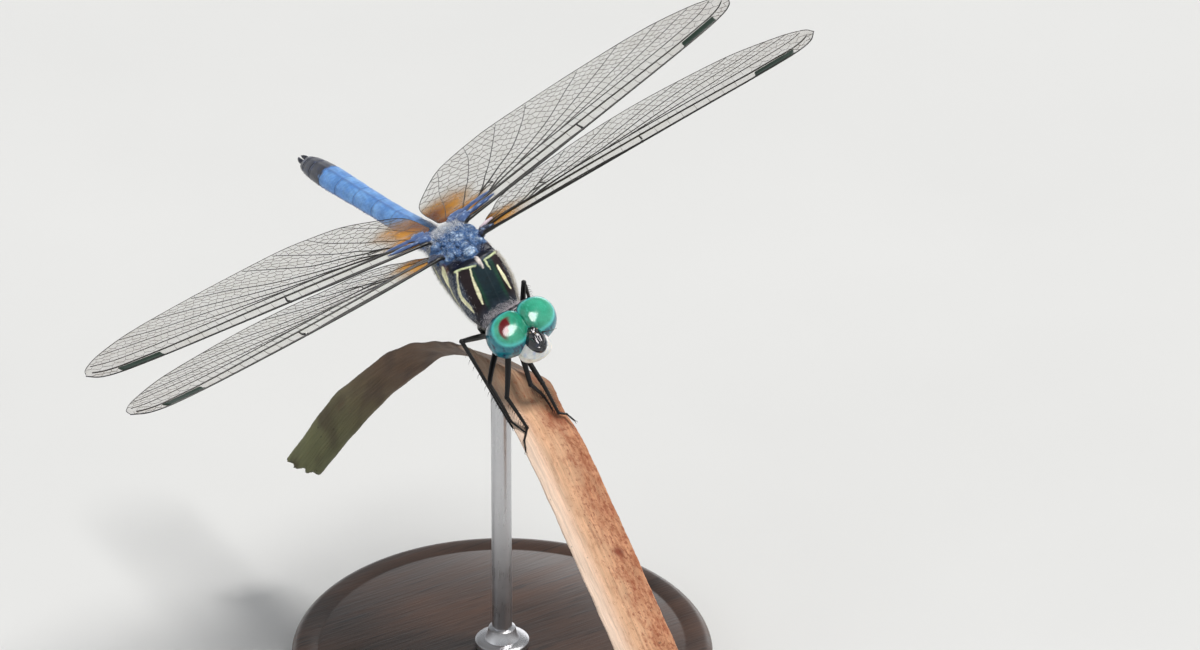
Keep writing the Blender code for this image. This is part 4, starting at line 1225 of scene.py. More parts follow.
def make_abdomen(skin, hair, tip):
    lengths, widths, heights = np.array(SEGMENTS).T
    ends = np.cumsum((ABDOMEN_START, *lengths))
    # Rings stand close together at the joints
    places = [0.35, 0.55]
    near = np.array((0.0, 0.03, 0.06, 0.1, 0.15))
    for start, end in zip(ends, ends[1:]):
        inner = np.linspace(start + 0.22, end - 0.2, max(6, int((end - start) / ABDOMEN_STEP)))
        places += [*(start + near), *inner, *(end - near[::-1][:-1])]
    places = np.array(places)
    angles = circle(ABDOMEN_COLUMNS)
    half = np.interp(places, ends, (1.0, *widths))
    tall = np.interp(places, ends, (1.0, *heights))
    number = np.clip(np.searchsorted(ends, places, side="right"), 1, len(SEGMENTS))
    start, end = ends[number - 1], ends[number]
    # Each segment swells a little, has a raised rear rim, and a sunk ring joins it to the next
    inside = np.clip((places - start) / (end - start), 0, 1)
    swell = 0.035 * np.sin(np.pi * inside) - 0.1 * bell(places - start, 0.05)
    swell += 0.03 * bell(end - 0.12 - places, 0.07)
    swell[places < ends[0]] = -0.25
    across, along = np.sin(angles), np.cos(angles)
    from_top = np.minimum(angles, math.tau - angles)
    lower = np.where(along < 0, 1 - 0.1 * along ** 2, 1.0)
    grid = np.stack((
        (half + swell)[:, None] * np.sign(across) * np.abs(across) ** 0.92 * lower,
        np.broadcast_to(-places[:, None], (len(places), ABDOMEN_COLUMNS)),
        (tall + swell)[:, None] * along * (1.0 + 0.05 * bell(from_top, 0.12)),
    ), axis=-1)
    flat = grid.reshape(-1, 3)
    normal = grid_normals(grid)
    run = np.repeat(places, ABDOMEN_COLUMNS)
    hatch = np.sin(run * math.tau / 0.2) * (1 - smooth(run, 3.0, 4.4)) * 0.012
    shaped = flat + normal * (0.004 * waves(flat, 0.9, 21) + 0.003 * waves(flat, 0.25, 22) + hatch)[:, None]

    turn = np.tile(angles, len(places))
    height = np.cos(turn)
    flank = np.abs(np.sin(turn))
    blue = blend(rgb(72, 134, 206, 0.6), rgb(116, 172, 230, 0.65),
                 smooth(waves(flat, 2.6, 23) * 0.5 + waves(flat, 0.3, 24) * 0.4, -0.7, 1.0))
    # Painted shade: darker blue on the lower sides. Below them the underside is dark grey
    blue = blend(blue, rgb(40, 70, 140, 0.6), smooth(-height, -0.25, 0.45) * 0.85)
    blue = blend(blue, rgb(60, 64, 76, 0.6), smooth(-height, 0.5, 0.85) * 0.8)
    joint = np.clip(bell(end - 0.07 - places, 0.07) * 0.55 + bell(places - start, 0.07) * 0.9, 0, 1)
    blue = blend(blue, rgb(34, 58, 116, 0.5), np.repeat(joint, ABDOMEN_COLUMNS))
    lines = 0.5 + 0.5 * np.sin(run * math.tau / 0.26 + waves(flat, 0.5, 25))
    lines = lines * (1 - smooth(run, 2.6, 4.6)) * smooth(flank, 0.1, 0.8)
    blue = blend(blue, rgb(28, 60, 118, 0.6), lines * 0.7)
    blue = blend(blue, rgb(50, 86, 156, 0.5), bell(np.tile(from_top, len(places)), 0.09) * 0.5)
    black = blend(rgb(17, 24, 46, 0.42), rgb(48, 62, 98, 0.55), smooth(waves(flat, 0.6, 26), 0.1, 1.2) * 0.7)
    edge = ends[LAST_BLUE]
    tint = blend(blue, black, smooth(run + 0.25 * waves(flat, 1.0, 27), edge - 0.15, edge + 0.15))
    heap = Heap()
    heap.add(*closed(ABDOMEN_AXES.at(shaped).reshape(grid.shape)), capped(tint))
    nodes = tuple("abdomen_" + str(k + 1) for k in range(len(SEGMENTS)))
    piece("abdomen_skin", heap, skin, nodes)

    # Upper and lower appendages
    heap = Heap()
    upper = ((0.24, 0.25, 0.08), (0.27, -0.3, 0.14), (0.26, -0.75, 0.18), (0.14, -1.25, 0.26))
    lower = ((0, 0.2, -0.2), (0, -0.4, -0.24), (0, -1.05, -0.08))
    for side, line, at, radii, colour in (
            (1, upper, (0, 0.3, 0.6, 0.85, 1), (0.14, 0.2, 0.22, 0.15, 0.04), rgb(18, 22, 40, 0.4)),
            (-1, upper, (0, 0.3, 0.6, 0.85, 1), (0.14, 0.2, 0.22, 0.15, 0.04), rgb(18, 22, 40, 0.4)),
            (1, lower, (0, 0.4, 0.8, 1), (0.22, 0.24, 0.16, 0.06), rgb(24, 24, 34, 0.45))):
        route = spline(np.array(line) * (side, 1, 1) - (0, ends[-1], 0), 6)
        heap.add(*tube(ABDOMEN_AXES.at(route), stops(len(route), at, radii), 14), colour)
    piece("abdomen_appendages", heap, tip, ("cercus_left", "cercus_right"))

    # Pale fuzz at the base, sparse short hairs further back
    draw = np.random.default_rng(SEED + 202)
    unwrap = unwrapped(grid)
    gaps = np.repeat(np.gradient(places), ABDOMEN_COLUMNS)
    base = (1 - smooth(run, 2.6, 4.2)) * gaps * smooth(flank, 0.15, 0.7)
    rest = smooth(run, 3.0, 5.0) * gaps * smooth(-height, -0.5, 0.4)
    heap = Heap()
    for weight, count, length, colour in ((base, 1300, 0.36, rgb(234, 238, 246, 0.6)),
                                          (rest, 1500, 0.1, rgb(60, 66, 84, 0.6))):
        chosen = draw.choice(len(flat), count, p=weight / weight.sum())
        direction = normal[chosen] + np.array((0, -0.8, 0)) + draw.normal(size=(count, 3)) * 0.25
        shade = draw.uniform(0.7, 1.1, count)
        lengths = length * draw.uniform(0.6, 1.2, count)
        hairs(heap, ABDOMEN_AXES, shaped[chosen], direction, lengths, 0.01, colour, shade,
              unwrap[chosen], 0.2)
    piece("abdomen_coat", heap, hair)


# ---------------------------------------------------------------- head
# Forward and up: the eye's middle, and its half sizes at the crown
EYE_CENTRE = (-0.05, 0.1)
EYE_SEMI = (1.75, 2.15)
# Left places of the seam between the eyes, of an eye's crown and of its outermost point
EYE_SEAM = 0.02
EYE_CROWN = 1.04
EYE_OUT = 3.2
EYE_VALLEY = 0.2
EYE_INNER_ROWS = 34
EYE_OUTER_ROWS = 86
EYE_COLUMNS = 150
EYE_ROUNDNESS = 2.35
# The turquoise cap lies past a slanting plane through the eye
EYE_ZONE = np.array((0.027, 0.505, 0.863))
EYE_ZONE_EDGE = 1.524
CRESCENT_CENTRE = np.array((-1.44, 0.83, 1.92))
FACE_AXES = HEAD_AXES.moved((0.12, 0.4, 0.0))
FACE_MIDDLE = 1.0
# Sections of the face from the top down: height, half width, reach forward
FRONS = ((1.1, 0.22, 1.5), (1.0, 0.42, 1.9), (0.8, 0.62, 2.24), (0.5, 0.8, 2.48), (0.2, 0.9, 2.62),
         (-0.1, 0.92, 2.64), (-0.34, 0.86, 2.58), (-0.52, 0.76, 2.48), (-0.62, 0.6, 2.2))
CLYPEUS = ((0.2, 0.84, 1.75), (0.0, 1.04, 2.1), (-0.25, 1.18, 2.36), (-0.5, 1.28, 2.5), (-0.78, 1.36, 2.56),
           (-0.98, 1.4, 2.53), (-1.1, 1.36, 2.42), (-1.14, 1.2, 2.3))
LIP = ((-1.06, 1.2, 2.2), (-1.14, 1.38, 2.4), (-1.35, 1.48, 2.38), (-1.6, 1.48, 2.24), (-1.85, 1.38, 2.02),
       (-2.08, 1.14, 1.76), (-2.2, 0.74, 1.5))
JAW = ((-1.3, 1.36, 1.7), (-1.7, 1.44, 1.9), (-2.0, 1.26, 1.78), (-2.22, 0.98, 1.6), (-2.36, 0.6, 1.35))
# Furrows: line, height (sunk), half width
FRONS_FURROWS = (
    (((0.0, 1.9, 1.05), (0.0, 2.35, 0.82), (0.0, 2.6, 0.4), (0.0, 2.68, 0.0)), -0.16, 0.14),
    (((-0.9, 1.9, 0.6), (-0.5, 2.35, 0.45), (0.0, 2.6, 0.35), (0.5, 2.35, 0.45), (0.9, 1.9, 0.6)),
     -0.05, 0.12),
)
LIP_NOTCH = ((((0.0, 2.4, -1.2), (0.0, 2.2, -1.7), (0.0, 1.9, -2.05)), -0.05, 0.07),)
# Ellipsoids of the head's back: centre and semi-axes
NAPE = ((0, -1.0, -0.15), (2.35, 0.75, 1.85))
OCCIPUT = ((0, -0.55, 1.05), (0.46, 0.75, 0.62))


def eye_tint(places, side):
    """Colours of the eye: turquoise cap, bright edge, deep teal below, and the dark red crescent."""
    mirrored = places * np.array((side, 1, 1))
    zone = mirrored @ EYE_ZONE - EYE_ZONE_EDGE
    lumps = waves(places, 0.9, 31) * 0.5 + waves(places, 0.35, 32) * 0.5
    cap = blend(rgb(60, 172, 138, 0.3), rgb(30, 142, 110, 0.3), smooth(1.6 - mirrored[:, 0], 0.0, 1.2))
    cap = blend(cap, rgb(84, 196, 168, 0.3), smooth(lumps, 0.1, 1.0) * 0.6)
    deep = blend(rgb(0, 116, 132, 0.3), rgb(0, 40, 74, 0.3), smooth(lumps, -0.15, 0.7))
    deep = blend(deep, rgb(14, 112, 138, 0.35), smooth(-places[:, 2], 0.8, 1.8) * 0.4)
    deep = blend(deep, rgb(12, 60, 84, 0.35), smooth(-mirrored[:, 1], 0.1, 0.9) * 0.7)
    tint = blend(deep, cap, smooth(zone, -0.28, 0.1))
    tint = blend(tint, rgb(88, 214, 206, 0.3), bell(zone + 0.1, 0.14) * 0.8)
    if side < 0:
        from_centre = places - CRESCENT_CENTRE
        reach = np.linalg.norm(from_centre, axis=1)
        turn = np.degrees(np.arctan2(-from_centre[:, 0], -from_centre[:, 1]))
        red = blend(rgb(104, 10, 14, 0.3), rgb(84, 66, 36, 0.3), smooth(turn, 75, 115))
        tint = blend(tint, red, within(turn, -40, 0, 96, 136) * within(reach, 0.12, 0.35, 0.96, 1.2)
                     * smooth(places[:, 2], 0.4, 0.9))
    return blend(tint, rgb(14, 22, 30, 0.35), smooth(-mirrored[:, 1], 1.25, 1.6))


def make_eye(name, side, eye):
    around = circle(EYE_COLUMNS)
    # From the seam the eye rises steeply to its crown, then falls in a long round curve to the side
    inner = np.linspace(0, 1, EYE_INNER_ROWS, endpoint=False)
    outer = np.sin(np.linspace(0, math.pi / 2 - 0.03, EYE_OUTER_ROWS))
    out = np.concatenate((EYE_SEAM + (EYE_CROWN - EYE_SEAM) * inner,
                          EYE_CROWN + (EYE_OUT - EYE_CROWN) * outer))
    wide = np.concatenate((1 - EYE_VALLEY * (1 - inner) ** 2.6,
                           (1 - outer ** EYE_ROUNDNESS) ** (1 / EYE_ROUNDNESS)))
    # The valley between the eyes is deeper behind
    deeper = np.concatenate(((1 - inner) ** 1.8, np.zeros(len(outer))))
    wide = wide[:, None] - deeper[:, None] * (smooth(-np.cos(around - 0.25), 0.1, 0.95) * 0.28)
    grid = np.stack((
        np.broadcast_to(out[:, None], wide.shape),
        EYE_CENTRE[0] + EYE_SEMI[0] * wide * np.cos(around),
        EYE_CENTRE[1] + EYE_SEMI[1] * wide * np.sin(around),
    ), axis=-1) * np.array((side, 1, 1))
    heap = Heap()
    heap.add(*closed(HEAD_AXES.at(grid)), capped(eye_tint(grid.reshape(-1, 3), side)))
    piece(name + "_globe", heap, eye, (name,))


def mottled(heap, body, colour, other, size, seed, low, high, share=1.0):
    """Adds a body whose colour turns to the other one in lumps of about that size."""
    points, faces = body
    heap.add(points, faces, blend(colour, other, smooth(waves(points, size, seed), low, high) * share))


def face_reach(reach, front):
    return FACE_MIDDLE + (reach - FACE_MIDDLE) * np.abs(front) ** 0.85


def face_plate(sections, furrows=()):
    """A part of the face through its sections: round in front and flat behind."""
    around = circle(88)
    front = np.cos(around)
    rings = []
    for height, half, reach in resample(spline(sections, 8), 70):
        ahead = np.where(front > 0, face_reach(reach, front), FACE_MIDDLE + front * 0.9)
        rings.append(np.stack((half * np.sin(around), ahead, np.full(len(around), height)), axis=1))
    grid = np.array(rings)
    flat = grid.reshape(-1, 3)
    rise = np.zeros(len(flat))
    for line, height, half in furrows:
        rise += height * bell(line_distance(flat, line)[0], half)
    return closed(FACE_AXES.at(flat + grid_normals(grid) * rise[:, None]).reshape(grid.shape))


def make_face(shell, white, lens):
    # Frons with its furrows, and the vertex behind it
    heap = Heap()
    mottled(heap, face_plate(FRONS, FRONS_FURROWS), rgb(10, 14, 24, 0.16), rgb(16, 34, 66, 0.2),
            0.8, 43, 0.3, 1.2)
    for spot, semi in (((0, 1.2, 1.05), (0.4, 0.42, 0.36)), ((0.13, 1.2, 1.26), (0.16, 0.2, 0.16)),
                       ((-0.13, 1.2, 1.26), (0.16, 0.2, 0.16))):
        heap.add(*ball(FACE_AXES, spot, semi, 22, 32), rgb(10, 13, 20, 0.16))
    piece("face_frons", heap, shell, ("frons",))

    # White clypeus and lip, with a furrow between them
    heap = Heap()
    mottled(heap, face_plate(CLYPEUS), rgb(232, 232, 228, 0.32), rgb(186, 204, 226, 0.32),
            0.9, 44, 0.2, 1.0, 0.7)
    mottled(heap, face_plate(LIP, LIP_NOTCH), rgb(238, 232, 220, 0.35), rgb(206, 196, 176, 0.4),
            0.7, 45, 0.3, 1.1, 0.6)
    piece("face_clypeus", heap, white, ("labrum",))

    # Jaws and lower lip
    heap = Heap()
    heap.add(*face_plate(JAW), rgb(58, 36, 26, 0.35))
    heap.add(*ball(FACE_AXES, (0, 0.62, -1.75), (1.05, 0.95, 0.75), 24, 40), rgb(150, 128, 92, 0.5))
    for left in (-0.62, 0.62):
        heap.add(*ball(FACE_AXES, (left, 0.75, -1.95), (0.62, 0.72, 0.5), 20, 30), rgb(128, 104, 72, 0.5))
    piece("face_jaws", heap, shell)

    # Simple eyes on the vertex
    heap = Heap()
    for spot, semi in (((0.0, 1.58, 1.12), (0.1, 0.09, 0.1)), ((-0.34, 1.3, 1.18), (0.09, 0.09, 0.09)),
                       ((0.34, 1.3, 1.18), (0.09, 0.09, 0.09))):
        heap.add(*ball(FACE_AXES, spot, semi, 14, 20), rgb(120, 92, 60, 0.1))
    piece("ocelli", heap, lens)

    # Antennae: two short joints and a bristle
    line = np.array(((0.55, 1.75, 1.0), (0.64, 2.0, 1.22), (0.72, 2.2, 1.42), (0.9, 2.75, 1.9),
                     (1.15, 3.25, 2.45)))
    for name, side in (("antenna_left", 1), ("antenna_right", -1)):
        route = spline(line * (side, 1, 1), 6)
        radii = stops(len(route), (0, 0.18, 0.24, 0.42, 0.5, 1.0), (0.085, 0.085, 0.06, 0.06, 0.03, 0.014))
        heap = Heap()
        heap.add(*tube(FACE_AXES.at(route), radii, 10), rgb(16, 16, 18, 0.35))
        piece(name + "_bristle", heap, shell, (name,))


def make_head_coat(hair):
    """A pale ruff behind the eyes, and short dark bristles on the frons."""
    draw = np.random.default_rng(SEED + 303)
    heap = Heap()
    # count, ellipsoid, lowest cosine of the angle from its top, first turn round it, length, colour, lean
    for count, (centre, semi), lowest, first_turn, length, colour, lean in (
            (1100, NAPE, -0.9, math.pi, 0.3, rgb(240, 228, 234, 0.6), (0, -0.5, 0.5)),
            (420, OCCIPUT, 0.2, 0.0, 0.26, rgb(236, 224, 228, 0.6), (0, -0.3, 0.8))):
        polar = np.arccos(draw.uniform(lowest, 1, count))
        turn = draw.uniform(first_turn, math.tau, count)
        ray = np.stack((np.sin(polar) * np.cos(turn), np.sin(polar) * np.sin(turn), np.cos(polar)), axis=1)
        direction = unit(ray / np.array(semi)) + np.array(lean) + draw.normal(size=(count, 3)) * 0.3
        shade = draw.uniform(0.75, 1.08, count)
        hairs(heap, HEAD_AXES, ray * np.array(semi) + np.array(centre), direction,
              length * draw.uniform(0.6, 1.2, count), 0.011, colour, shade,
              np.stack((turn / math.tau, polar / math.pi), axis=1), 0.2)
    count = 90
    turn = draw.uniform(-1.1, 1.1, count)
    height = draw.uniform(-0.45, 0.95, count)
    heights, halves, reaches = np.array(FRONS[::-1]).T
    half, reach = (np.interp(height, heights, values) for values in (halves, reaches))
    spots = np.stack((half * np.sin(turn), face_reach(reach, np.cos(turn)), height), axis=1)
    outward = np.stack((np.sin(turn), np.cos(turn), np.full(count, 0.2)), axis=1)
    direction = outward + draw.normal(size=(count, 3)) * 0.2
    lengths = 0.13 * draw.uniform(0.6, 1.2, count)
    hairs(heap, FACE_AXES, spots, direction, lengths, 0.006, rgb(26, 24, 26, 0.5), 1.0,
          np.stack(((turn + 1.2) / 2.4, (height + 0.6) / 1.6), axis=1))
    piece("head_coat", heap, hair)


def make_head(eye, shell, white, hair, lens):
    make_eye("eye_left", 1, eye)
    make_eye("eye_right", -1, eye)
    # Back of the head: a dark disc that the eyes wrap, with the occiput between them
    heap = Heap()
    mottled(heap, ball(HEAD_AXES, *NAPE, 40, 60), rgb(22, 26, 34, 0.45), rgb(70, 74, 84, 0.6),
            0.6, 41, 0.2, 1.1)
    heap.add(*ball(HEAD_AXES, *OCCIPUT, 24, 36), rgb(14, 18, 24, 0.3))
    heap.add(*ball(HEAD_AXES, (0, 0.2, -0.3), (1.0, 1.5, 1.6), 24, 36), rgb(14, 18, 24, 0.4))
    piece("head_back", heap, shell, ("head",))
    make_face(shell, white, lens)
    make_head_coat(hair)


# ---------------------------------------------------------------- legs
# Thorax places of each leg's joints
JOINTS = ("hip", "trochanter", "knee", "ankle", "toe", "claw")
LEGS = {
    "leg_hind_right": ((-1.05, 3.1, -7.0), (-1.0, 3.5, -7.75), (-4.68, 5.9, -3.5), (-2.88, 7.63, -11.9),
                       (-2.85, 8.4, -12.72), (-2.82, 9.12, -13.25)),
    "leg_mid_right": ((-0.75, 4.6, -6.7), (-0.85, 5.1, -7.45), (-3.95, 8.25, -7.4), (-2.75, 8.8, -12.68),
                      (-2.4, 9.3, -13.25), (-2.1, 9.78, -13.7)),
    "leg_fore_right": ((-0.6, 5.7, -5.8), (-0.6, 6.3, -6.65), (-2.4, 8.1, -10.5), (-1.7, 9.6, -13.65),
                       (-2.5, 10.25, -14.05), (-2.87, 10.9, -14.62)),
    "leg_fore_left": ((0.85, 5.4, -6.0), (1.6, 5.6, -6.2), (2.2, 5.45, -1.45), (2.75, 5.05, -4.7),
                      (2.7, 5.1, -5.6), (2.6, 5.25, -6.3)),
    "leg_mid_left": ((1.0, 4.5, -6.8), (1.0, 5.0, -7.5), (0.13, 7.9, -10.95), (1.05, 8.25, -12.85),
                     (1.1, 8.8, -13.35), (1.1, 9.3, -13.75)),
    "leg_hind_left": ((1.05, 3.1, -7.0), (1.2, 3.45, -8.5), (1.25, 7.95, -11.55), (1.4, 9.72, -13.95),
                      (1.95, 10.1, -14.15), (2.2, 10.9, -14.5)),
}


LEG_BLACK = rgb(12, 11, 13, 0.5)
# Limbs between two joints (or from the root in the thorax): radii, sides, points, bow
LIMBS = (
    ("root", "hip", (0.52, 0.5, 0.46, 0.4), 12, 14, 0.0),
    ("hip", "trochanter", (0.4, 0.38, 0.32, 0.26), 12, 14, 0.0),
    ("trochanter", "knee", (0.24, 0.27, 0.25, 0.22, 0.2), 12, 14, 0.08),
    ("knee", "ankle", (0.18, 0.165, 0.15, 0.14, 0.125), 12, 14, 0.06),
    ("ankle", "toe", (0.115, 0.095, 0.1, 0.085), 8, 8, 0.0),
    ("toe", "claw", (0.085, 0.075, 0.08, 0.065), 8, 8, 0.0),
)
KNUCKLES = (("knee", 0.22), ("ankle", 0.145), ("toe", 0.1), ("trochanter", 0.29), ("hip", 0.42))
# Spines of the femur and the shin: the limb's end, length, count in each of two rows
SPINES = (("knee", 0.3, 11), ("ankle", 0.62, 9))


def make_legs(shell):
    draw = np.random.default_rng(SEED + 404)
    _, body_forward, body_up = THORAX_AXES.frame
    for name, places in LEGS.items():
        left, forward, up = places[0]
        joints = dict(zip(JOINTS, THORAX_AXES.at(places)))
        joints["root"] = THORAX_AXES.at((left * 0.75, forward - 0.15, up + 1.15))
        heap = Heap()
        lines = {}
        for start, end, radii, sides, count, bow in LIMBS:
            a, b = joints[start], joints[end]
            line = a + np.linspace(0, 1, count)[:, None] * (b - a)
            across = unit(np.cross(b - a, (0.3, 0.2, 0.9)))
            line = line + np.sin(np.linspace(0, math.pi, count))[:, None] * across * bow
            heap.add(*tube(line, stops(count, np.linspace(0, 1, len(radii)), radii), sides), LEG_BLACK)
            lines[end] = line
        for joint, radius in KNUCKLES:
            heap.add(*dot(joints[joint], (radius,) * 3, 12, 16), LEG_BLACK)
        claw = joints["claw"]
        ahead = unit(claw - joints["toe"])
        across = unit(np.cross(ahead, body_up))
        for sign in (-1, 1):
            route = np.stack((claw, claw + ahead * 0.14 + across * sign * 0.09,
                              claw + ahead * 0.24 + across * sign * 0.08 - body_up * 0.07))
            heap.add(*tube(spline(route, 4), np.linspace(0.035, 0.008, 9), 6), LEG_BLACK)
        for limb, length, count in SPINES:
            start, end = lines[limb][0], lines[limb][-1]
            ahead = unit(end - start)
            across = unit(np.cross(ahead, body_forward * 0.6 + body_up * 0.8))
            down = np.cross(across, ahead)
            down = down if down @ body_up < 0 else -down
            for sign in (-1, 1):
                out = across * sign * 0.8 + down * 0.5
                for share in np.linspace(0.18, 0.94, count):
                    root = start + (end - start) * (share + draw.uniform(-0.02, 0.02))
                    reach = length * draw.uniform(0.75, 1.1)
                    route = np.stack((root, root + (out * 0.75 + ahead * 0.35) * reach * 0.55,
                                      root + (out * 0.8 + ahead * 0.75) * reach))
                    heap.add(*tube(route, (0.026, 0.02, 0.006), 5), LEG_BLACK)
        piece(name + "_limb", heap, shell, (name,))


# ---------------------------------------------------------------- grass blade
# The blade's two edges at a few places, left then right as the camera sees them: mm from the wing point along
# the stand's axes
BLADE = (
    ((4.3, -18.0, -33.5), (9.6, -19.6, -34.5)), ((1.8, -7.6, -17.9), (7.1, -9.1, -18.9)),
    ((0.7, -4.3, -13.6), (6.1, -5.9, -14.9)), ((-0.3, -1.45, -10.0), (5.85, -4.85, -13.4)),
    ((-0.4, -0.3, -9.5), (5.7, -3.4, -13.1)), ((-0.2, 2.6, -10.7), (4.9, 1.6, -13.4)),
    ((0.0, 5.4, -12.1), (3.6, 5.4, -14.1)), ((-0.3, 7.9, -13.4), (2.85, 8.2, -15.75)),
    ((-1.3, 10.7, -15.6), (1.5, 10.8, -18.7)), ((-2.3, 13.3, -18.5), (0.6, 12.9, -21.2)),
    ((-3.6, 16.0, -22.0), (-0.8, 15.4, -24.9)), ((-6.1, 19.2, -28.7), (-2.95, 18.5, -30.5)),
)
BLADE_ROWS = 420
BLADE_COLUMNS = 61
BLADE_WIDTH = 5.0
BLADE_CUP = 0.35
# Half of the blade's thickness, and how many ribs it has
BLADE_HALF = 0.2
BLADE_RIBS = 13


def make_blade(material):
    """The grass blade, and the places of its underside."""
    edges = spline([np.concatenate(pair) for pair in BLADE], 40)
    run = running((edges[:, :3] + edges[:, 3:]) / 2)
    wanted = np.linspace(0, run[-1], BLADE_ROWS)
    edges = columnwise(wanted, run, edges)
    left, right = WING_POINT + edges[:, :3], WING_POINT + edges[:, 3:]
    along = np.gradient((left + right) / 2, axis=0)
    across = (right - left)[:, None, :]
    normal = unit(np.cross(right - left, along))[:, None, :]
    part = np.linspace(0, 1, BLADE_COLUMNS)
    fold = wanted[np.argmax((left + right)[:, 2])]
    draw = np.random.default_rng(SEED + 505)
    # Ragged edges and torn ends
    nick_left, nick_right = (
        0.002 * np.sin(wanted * a + b) + 0.0015 * np.sin(wanted * c + d) + 0.0015 * np.sin(wanted * e)
        for a, b, c, d, e in ((2.3, 0, 5.9, 1, 14.0), (2.9, 2, 6.7, 0, 12.1)))
    share = nick_left[:, None] + (1 - nick_left - nick_right)[:, None] * part
    cup = BLADE_CUP * 4 * share * (1 - share)
    ribs = 0.045 * np.abs(np.sin(part * math.pi * BLADE_RIBS)) ** 0.7 + 0.05 * bell(part - 0.5, 0.03)
    curl = (0.08 * np.sin(wanted * 0.7)[:, None] * (part - 0.5)
            + 0.05 * np.sin(wanted * 1.7 + 3)[:, None] * np.cos(part * 7))
    surface = left[:, None, :] + across * share[..., None] - normal * (cup - curl)[..., None]
    edge_thin = 0.45 + 0.55 * np.clip(4 * part * (1 - part) * 3, 0, 1)
    upper = surface + normal * (BLADE_HALF * edge_thin + ribs * edge_thin)[None, :, None]
    lower = surface - normal * (BLADE_HALF * edge_thin + ribs * 0.5 * edge_thin)[None, :, None]
    teeth = draw.uniform(-0.5, 0.5, BLADE_COLUMNS) * 0.9 + 0.5 * np.sin(part * 19)
    step = unit(along)
    for side in (upper, lower):
        for end, sign in ((0, 1), (-1, -1)):
            side[end] += step[end] * (teeth * 0.5 * sign)[:, None] * 0.8
    points, faces = closed(sheet(upper, lower))

    skin = points[:-2]
    place = np.repeat(wanted, BLADE_COLUMNS * 2)
    side = np.tile(np.concatenate((part, part[::-1])), BLADE_ROWS)
    on_top = np.tile(np.repeat((1.0, 0.0), BLADE_COLUMNS), BLADE_ROWS)
    past_fold = place - fold
    front = blend(rgb(224, 177, 140, 0.3), rgb(240, 212, 190, 0.0), 1 - smooth(side, 0.05, 0.42))
    front = blend(front, rgb(208, 146, 106, 1.0), smooth(side + 0.1 * waves(skin, 4.0, 51), 0.4, 0.8) * 0.8)
    front = blend(front, rgb(96, 40, 40, 1.0), bell(place - 10.7, 0.4) * bell(side - 0.76, 0.07))
    front = blend(front, rgb(140, 84, 56, 1.0), bell(past_fold + 5.2, 0.7) * bell(side - 0.8, 0.12))
    # Painted shadow of the animal on the blade's upper face, near the fold
    shade_line = place + 0.35 * np.sin(side * 5.0) + 0.25 * waves(skin, 1.5, 53)
    front = blend(front, rgb(130, 104, 80, 0.4), smooth(shade_line, fold - 4.9, fold - 3.7) * 0.7 * on_top)
    # Past the fold: dark brown, painted shade, turning greenish further along
    rear = blend(rgb(100, 78, 60, 0.0), rgb(118, 120, 84, 0.0), smooth(past_fold, 14.0, 30.0))
    rear = blend(rear, rgb(70, 54, 44, 0.0), smooth(waves(skin, 2.2, 52), 0.0, 1.0) * 0.6)
    heap = Heap()
    heap.add(points, faces, capped(blend(front, rear, smooth(past_fold, -0.6, 1.6))))
    blade = piece("perch_blade", heap, material, ("perch_front", "perch_rear"))
    # Distances across and along the blade, for the fibres
    flow = capped(np.stack((side * BLADE_WIDTH, place, (1 - on_top) * 3.0), axis=1))
    layer = blade.data.attributes.new("flow", "FLOAT_VECTOR", "POINT")
    layer.data.foreach_set("vector", flow.astype(np.float32).ravel())
    return lower.reshape(-1, 3)


# ---------------------------------------------------------------- stand
STAND_CREASE = 40
STEEL = rgb(160, 160, 165, 0.3)
DISC_TOP = 3.0
# Outlines as (height, radius), from the bottom up and then inwards
DISC = ([(0.0, 17.4), (0.35, 17.75), (0.7, 17.9), (0.9, 17.55), (1.15, 17.55), (1.35, 17.95)]
        + [(2.2 + 0.8 * math.sin(a), 17.2 + 0.8 * math.cos(a)) for a in np.linspace(0, math.pi / 2, 9)]
        + [(3.0, 16.0), (2.92, 15.8), (2.92, 15.6), (3.0, 15.4), (3.0, 6.0), (3.0, 2.6)])
COLLAR = ((2.9, 2.1), (3.1, 2.3), (3.6, 2.3), (3.75, 2.1), (3.8, 1.5), (4.3, 1.25), (4.8, 1.15), (4.9, 0.95))
ROD_RADIUS = 0.86
# The rod's rim is rounded off over its last ring, which reaches a little into the blade
RIM_RADIUS = 0.8
RIM_LIFT = 0.05
ROD_LIFT = -0.02


def turned(outline, sides):
    around = circle(sides)
    return closed([np.stack((r * np.cos(around), r * np.sin(around), np.full(sides, z)), axis=1)
                   for z, r in outline])


def make_stand(wood, steel, underside):
    heap = Heap()
    heap.add(*turned(DISC, 160), rgb(50, 34, 26, 0.4))
    piece("stand_disc", heap, wood, ("stand_base",), STAND_CREASE)

    heap = Heap()
    heap.add(*turned(COLLAR, 64), STEEL)
    # The rod's top is cut on the slant to fit the underside of the blade
    around = circle(48)
    rings = []
    for share, radius, lift in (*((k, ROD_RADIUS, ROD_LIFT) for k in np.linspace(0, 1, 14)),
                                (1.0, RIM_RADIUS, RIM_LIFT)):
        ring = np.stack((radius * np.cos(around), radius * np.sin(around)), axis=1)
        gap = np.linalg.norm(underside[None, :, :2] - ring[:, None], axis=2)
        near = np.argsort(gap, axis=1)[:, :6]
        top = underside[near, 2].mean(axis=1) + lift
        rings.append(np.column_stack((ring, DISC_TOP + (top - DISC_TOP) * share)))
    heap.add(*closed(rings), STEEL)
    piece("stand_pin", heap, steel, ("stand_rod",), STAND_CREASE)


# ---------------------------------------------------------------- the model
make_camera()
make_studio()

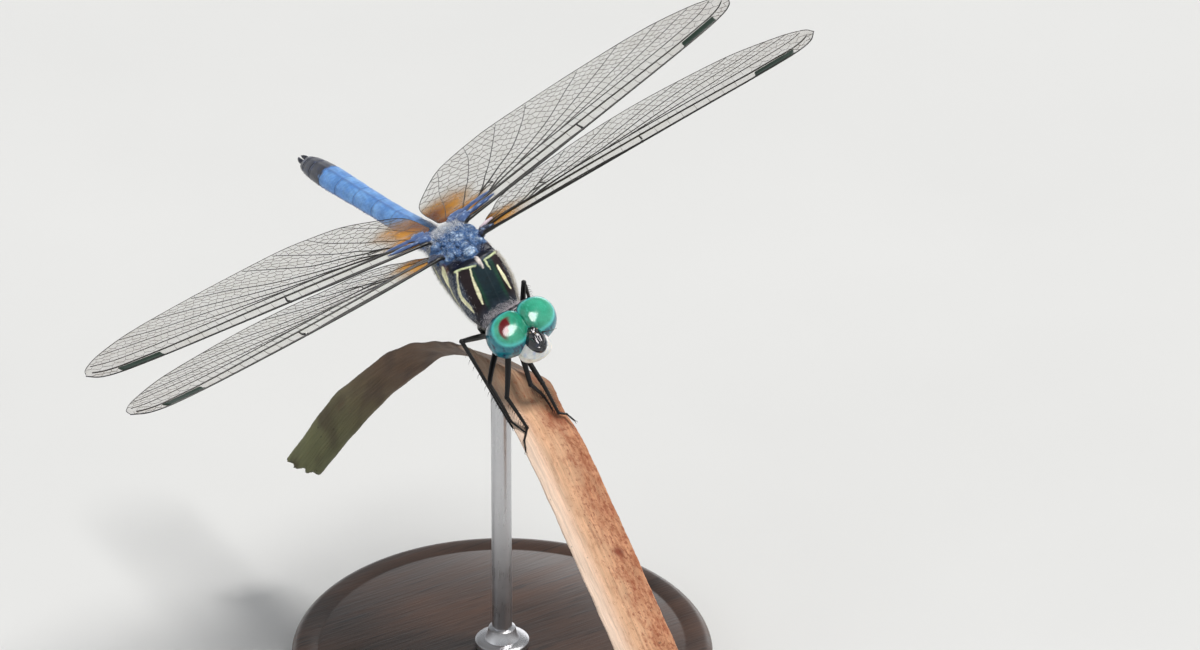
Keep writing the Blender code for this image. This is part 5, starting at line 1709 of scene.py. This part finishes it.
shell_black = painted("shell_black", (0.6, 0.2), (0.06, 0.15), ((0.1, 0.006),),
                      Coat_Weight=0.6, Coat_Roughness=0.1)
leg_black = painted("leg_black", (0.6, 0.2), (0.06, 0.2), ((0.08, 0.006),),
                    Coat_Weight=0.12, Coat_Roughness=0.25, Specular_IOR_Level=0.3)
thorax_skin = painted("thorax_skin", (0.5, 0.22), (0.07, 0.2), ((0.25, 0.015), (0.07, 0.008)),
                      Coat_Weight=0.12, Coat_Roughness=0.35, Specular_IOR_Level=0.3)
powder = painted("powder", (0.5, 0.2), (0.07, 0.22), ((0.2, 0.014), (0.06, 0.01)), Sheen_Weight=0.35)
abdomen_blue = painted("abdomen_blue", (0.7, 0.14), (0.06, 0.16), ((0.3, 0.008), (0.06, 0.008)),
                       Sheen_Weight=0.3)
abdomen_black = painted("abdomen_black", (0.6, 0.2), (0.06, 0.2), ((0.1, 0.008),), Coat_Weight=0.3)
eye_skin = painted("eye", (0.5, 0.12), (0.09, 0.1), (), (0.045, 0.003), Coat_Weight=1.0, Coat_Roughness=0.16,
                   Coat_IOR=1.5, Specular_IOR_Level=0.1)
face_white = painted("face_white", (0.5, 0.1), (0.07, 0.08), ((0.12, 0.006),), Coat_Weight=0.4,
                     Coat_Roughness=0.15, Subsurface_Weight=0.15, Subsurface_Scale=0.0003)
hair_pale = painted("hair", (0.5, 0.15), (0.1, 0.1))
glassy = painted("glassy", (0.3, 0.2), (0.06, 0.1), Coat_Weight=1.0, Coat_Roughness=0.05)
membrane = membrane_material("membrane")
vein = painted("vein", (0.8, 0.25), (0.1, 0.2), ((0.08, 0.005),), Coat_Weight=0.25)
stigma = painted("stigma", (0.7, 0.25), (0.1, 0.25), ((0.12, 0.01),), Coat_Weight=0.2)

for number, wing_name in enumerate(WINGS):
    make_wing(number, wing_name, membrane, vein, stigma, powder)
make_thorax(thorax_skin, hair_pale)
make_abdomen(abdomen_blue, hair_pale, abdomen_black)
make_head(eye_skin, shell_black, face_white, hair_pale, glassy)
make_legs(leg_black)
blade_underside = make_blade(grass_material("dry_grass"))
make_stand(wood_material("dark_wood"), steel_material("steel"), blade_underside)
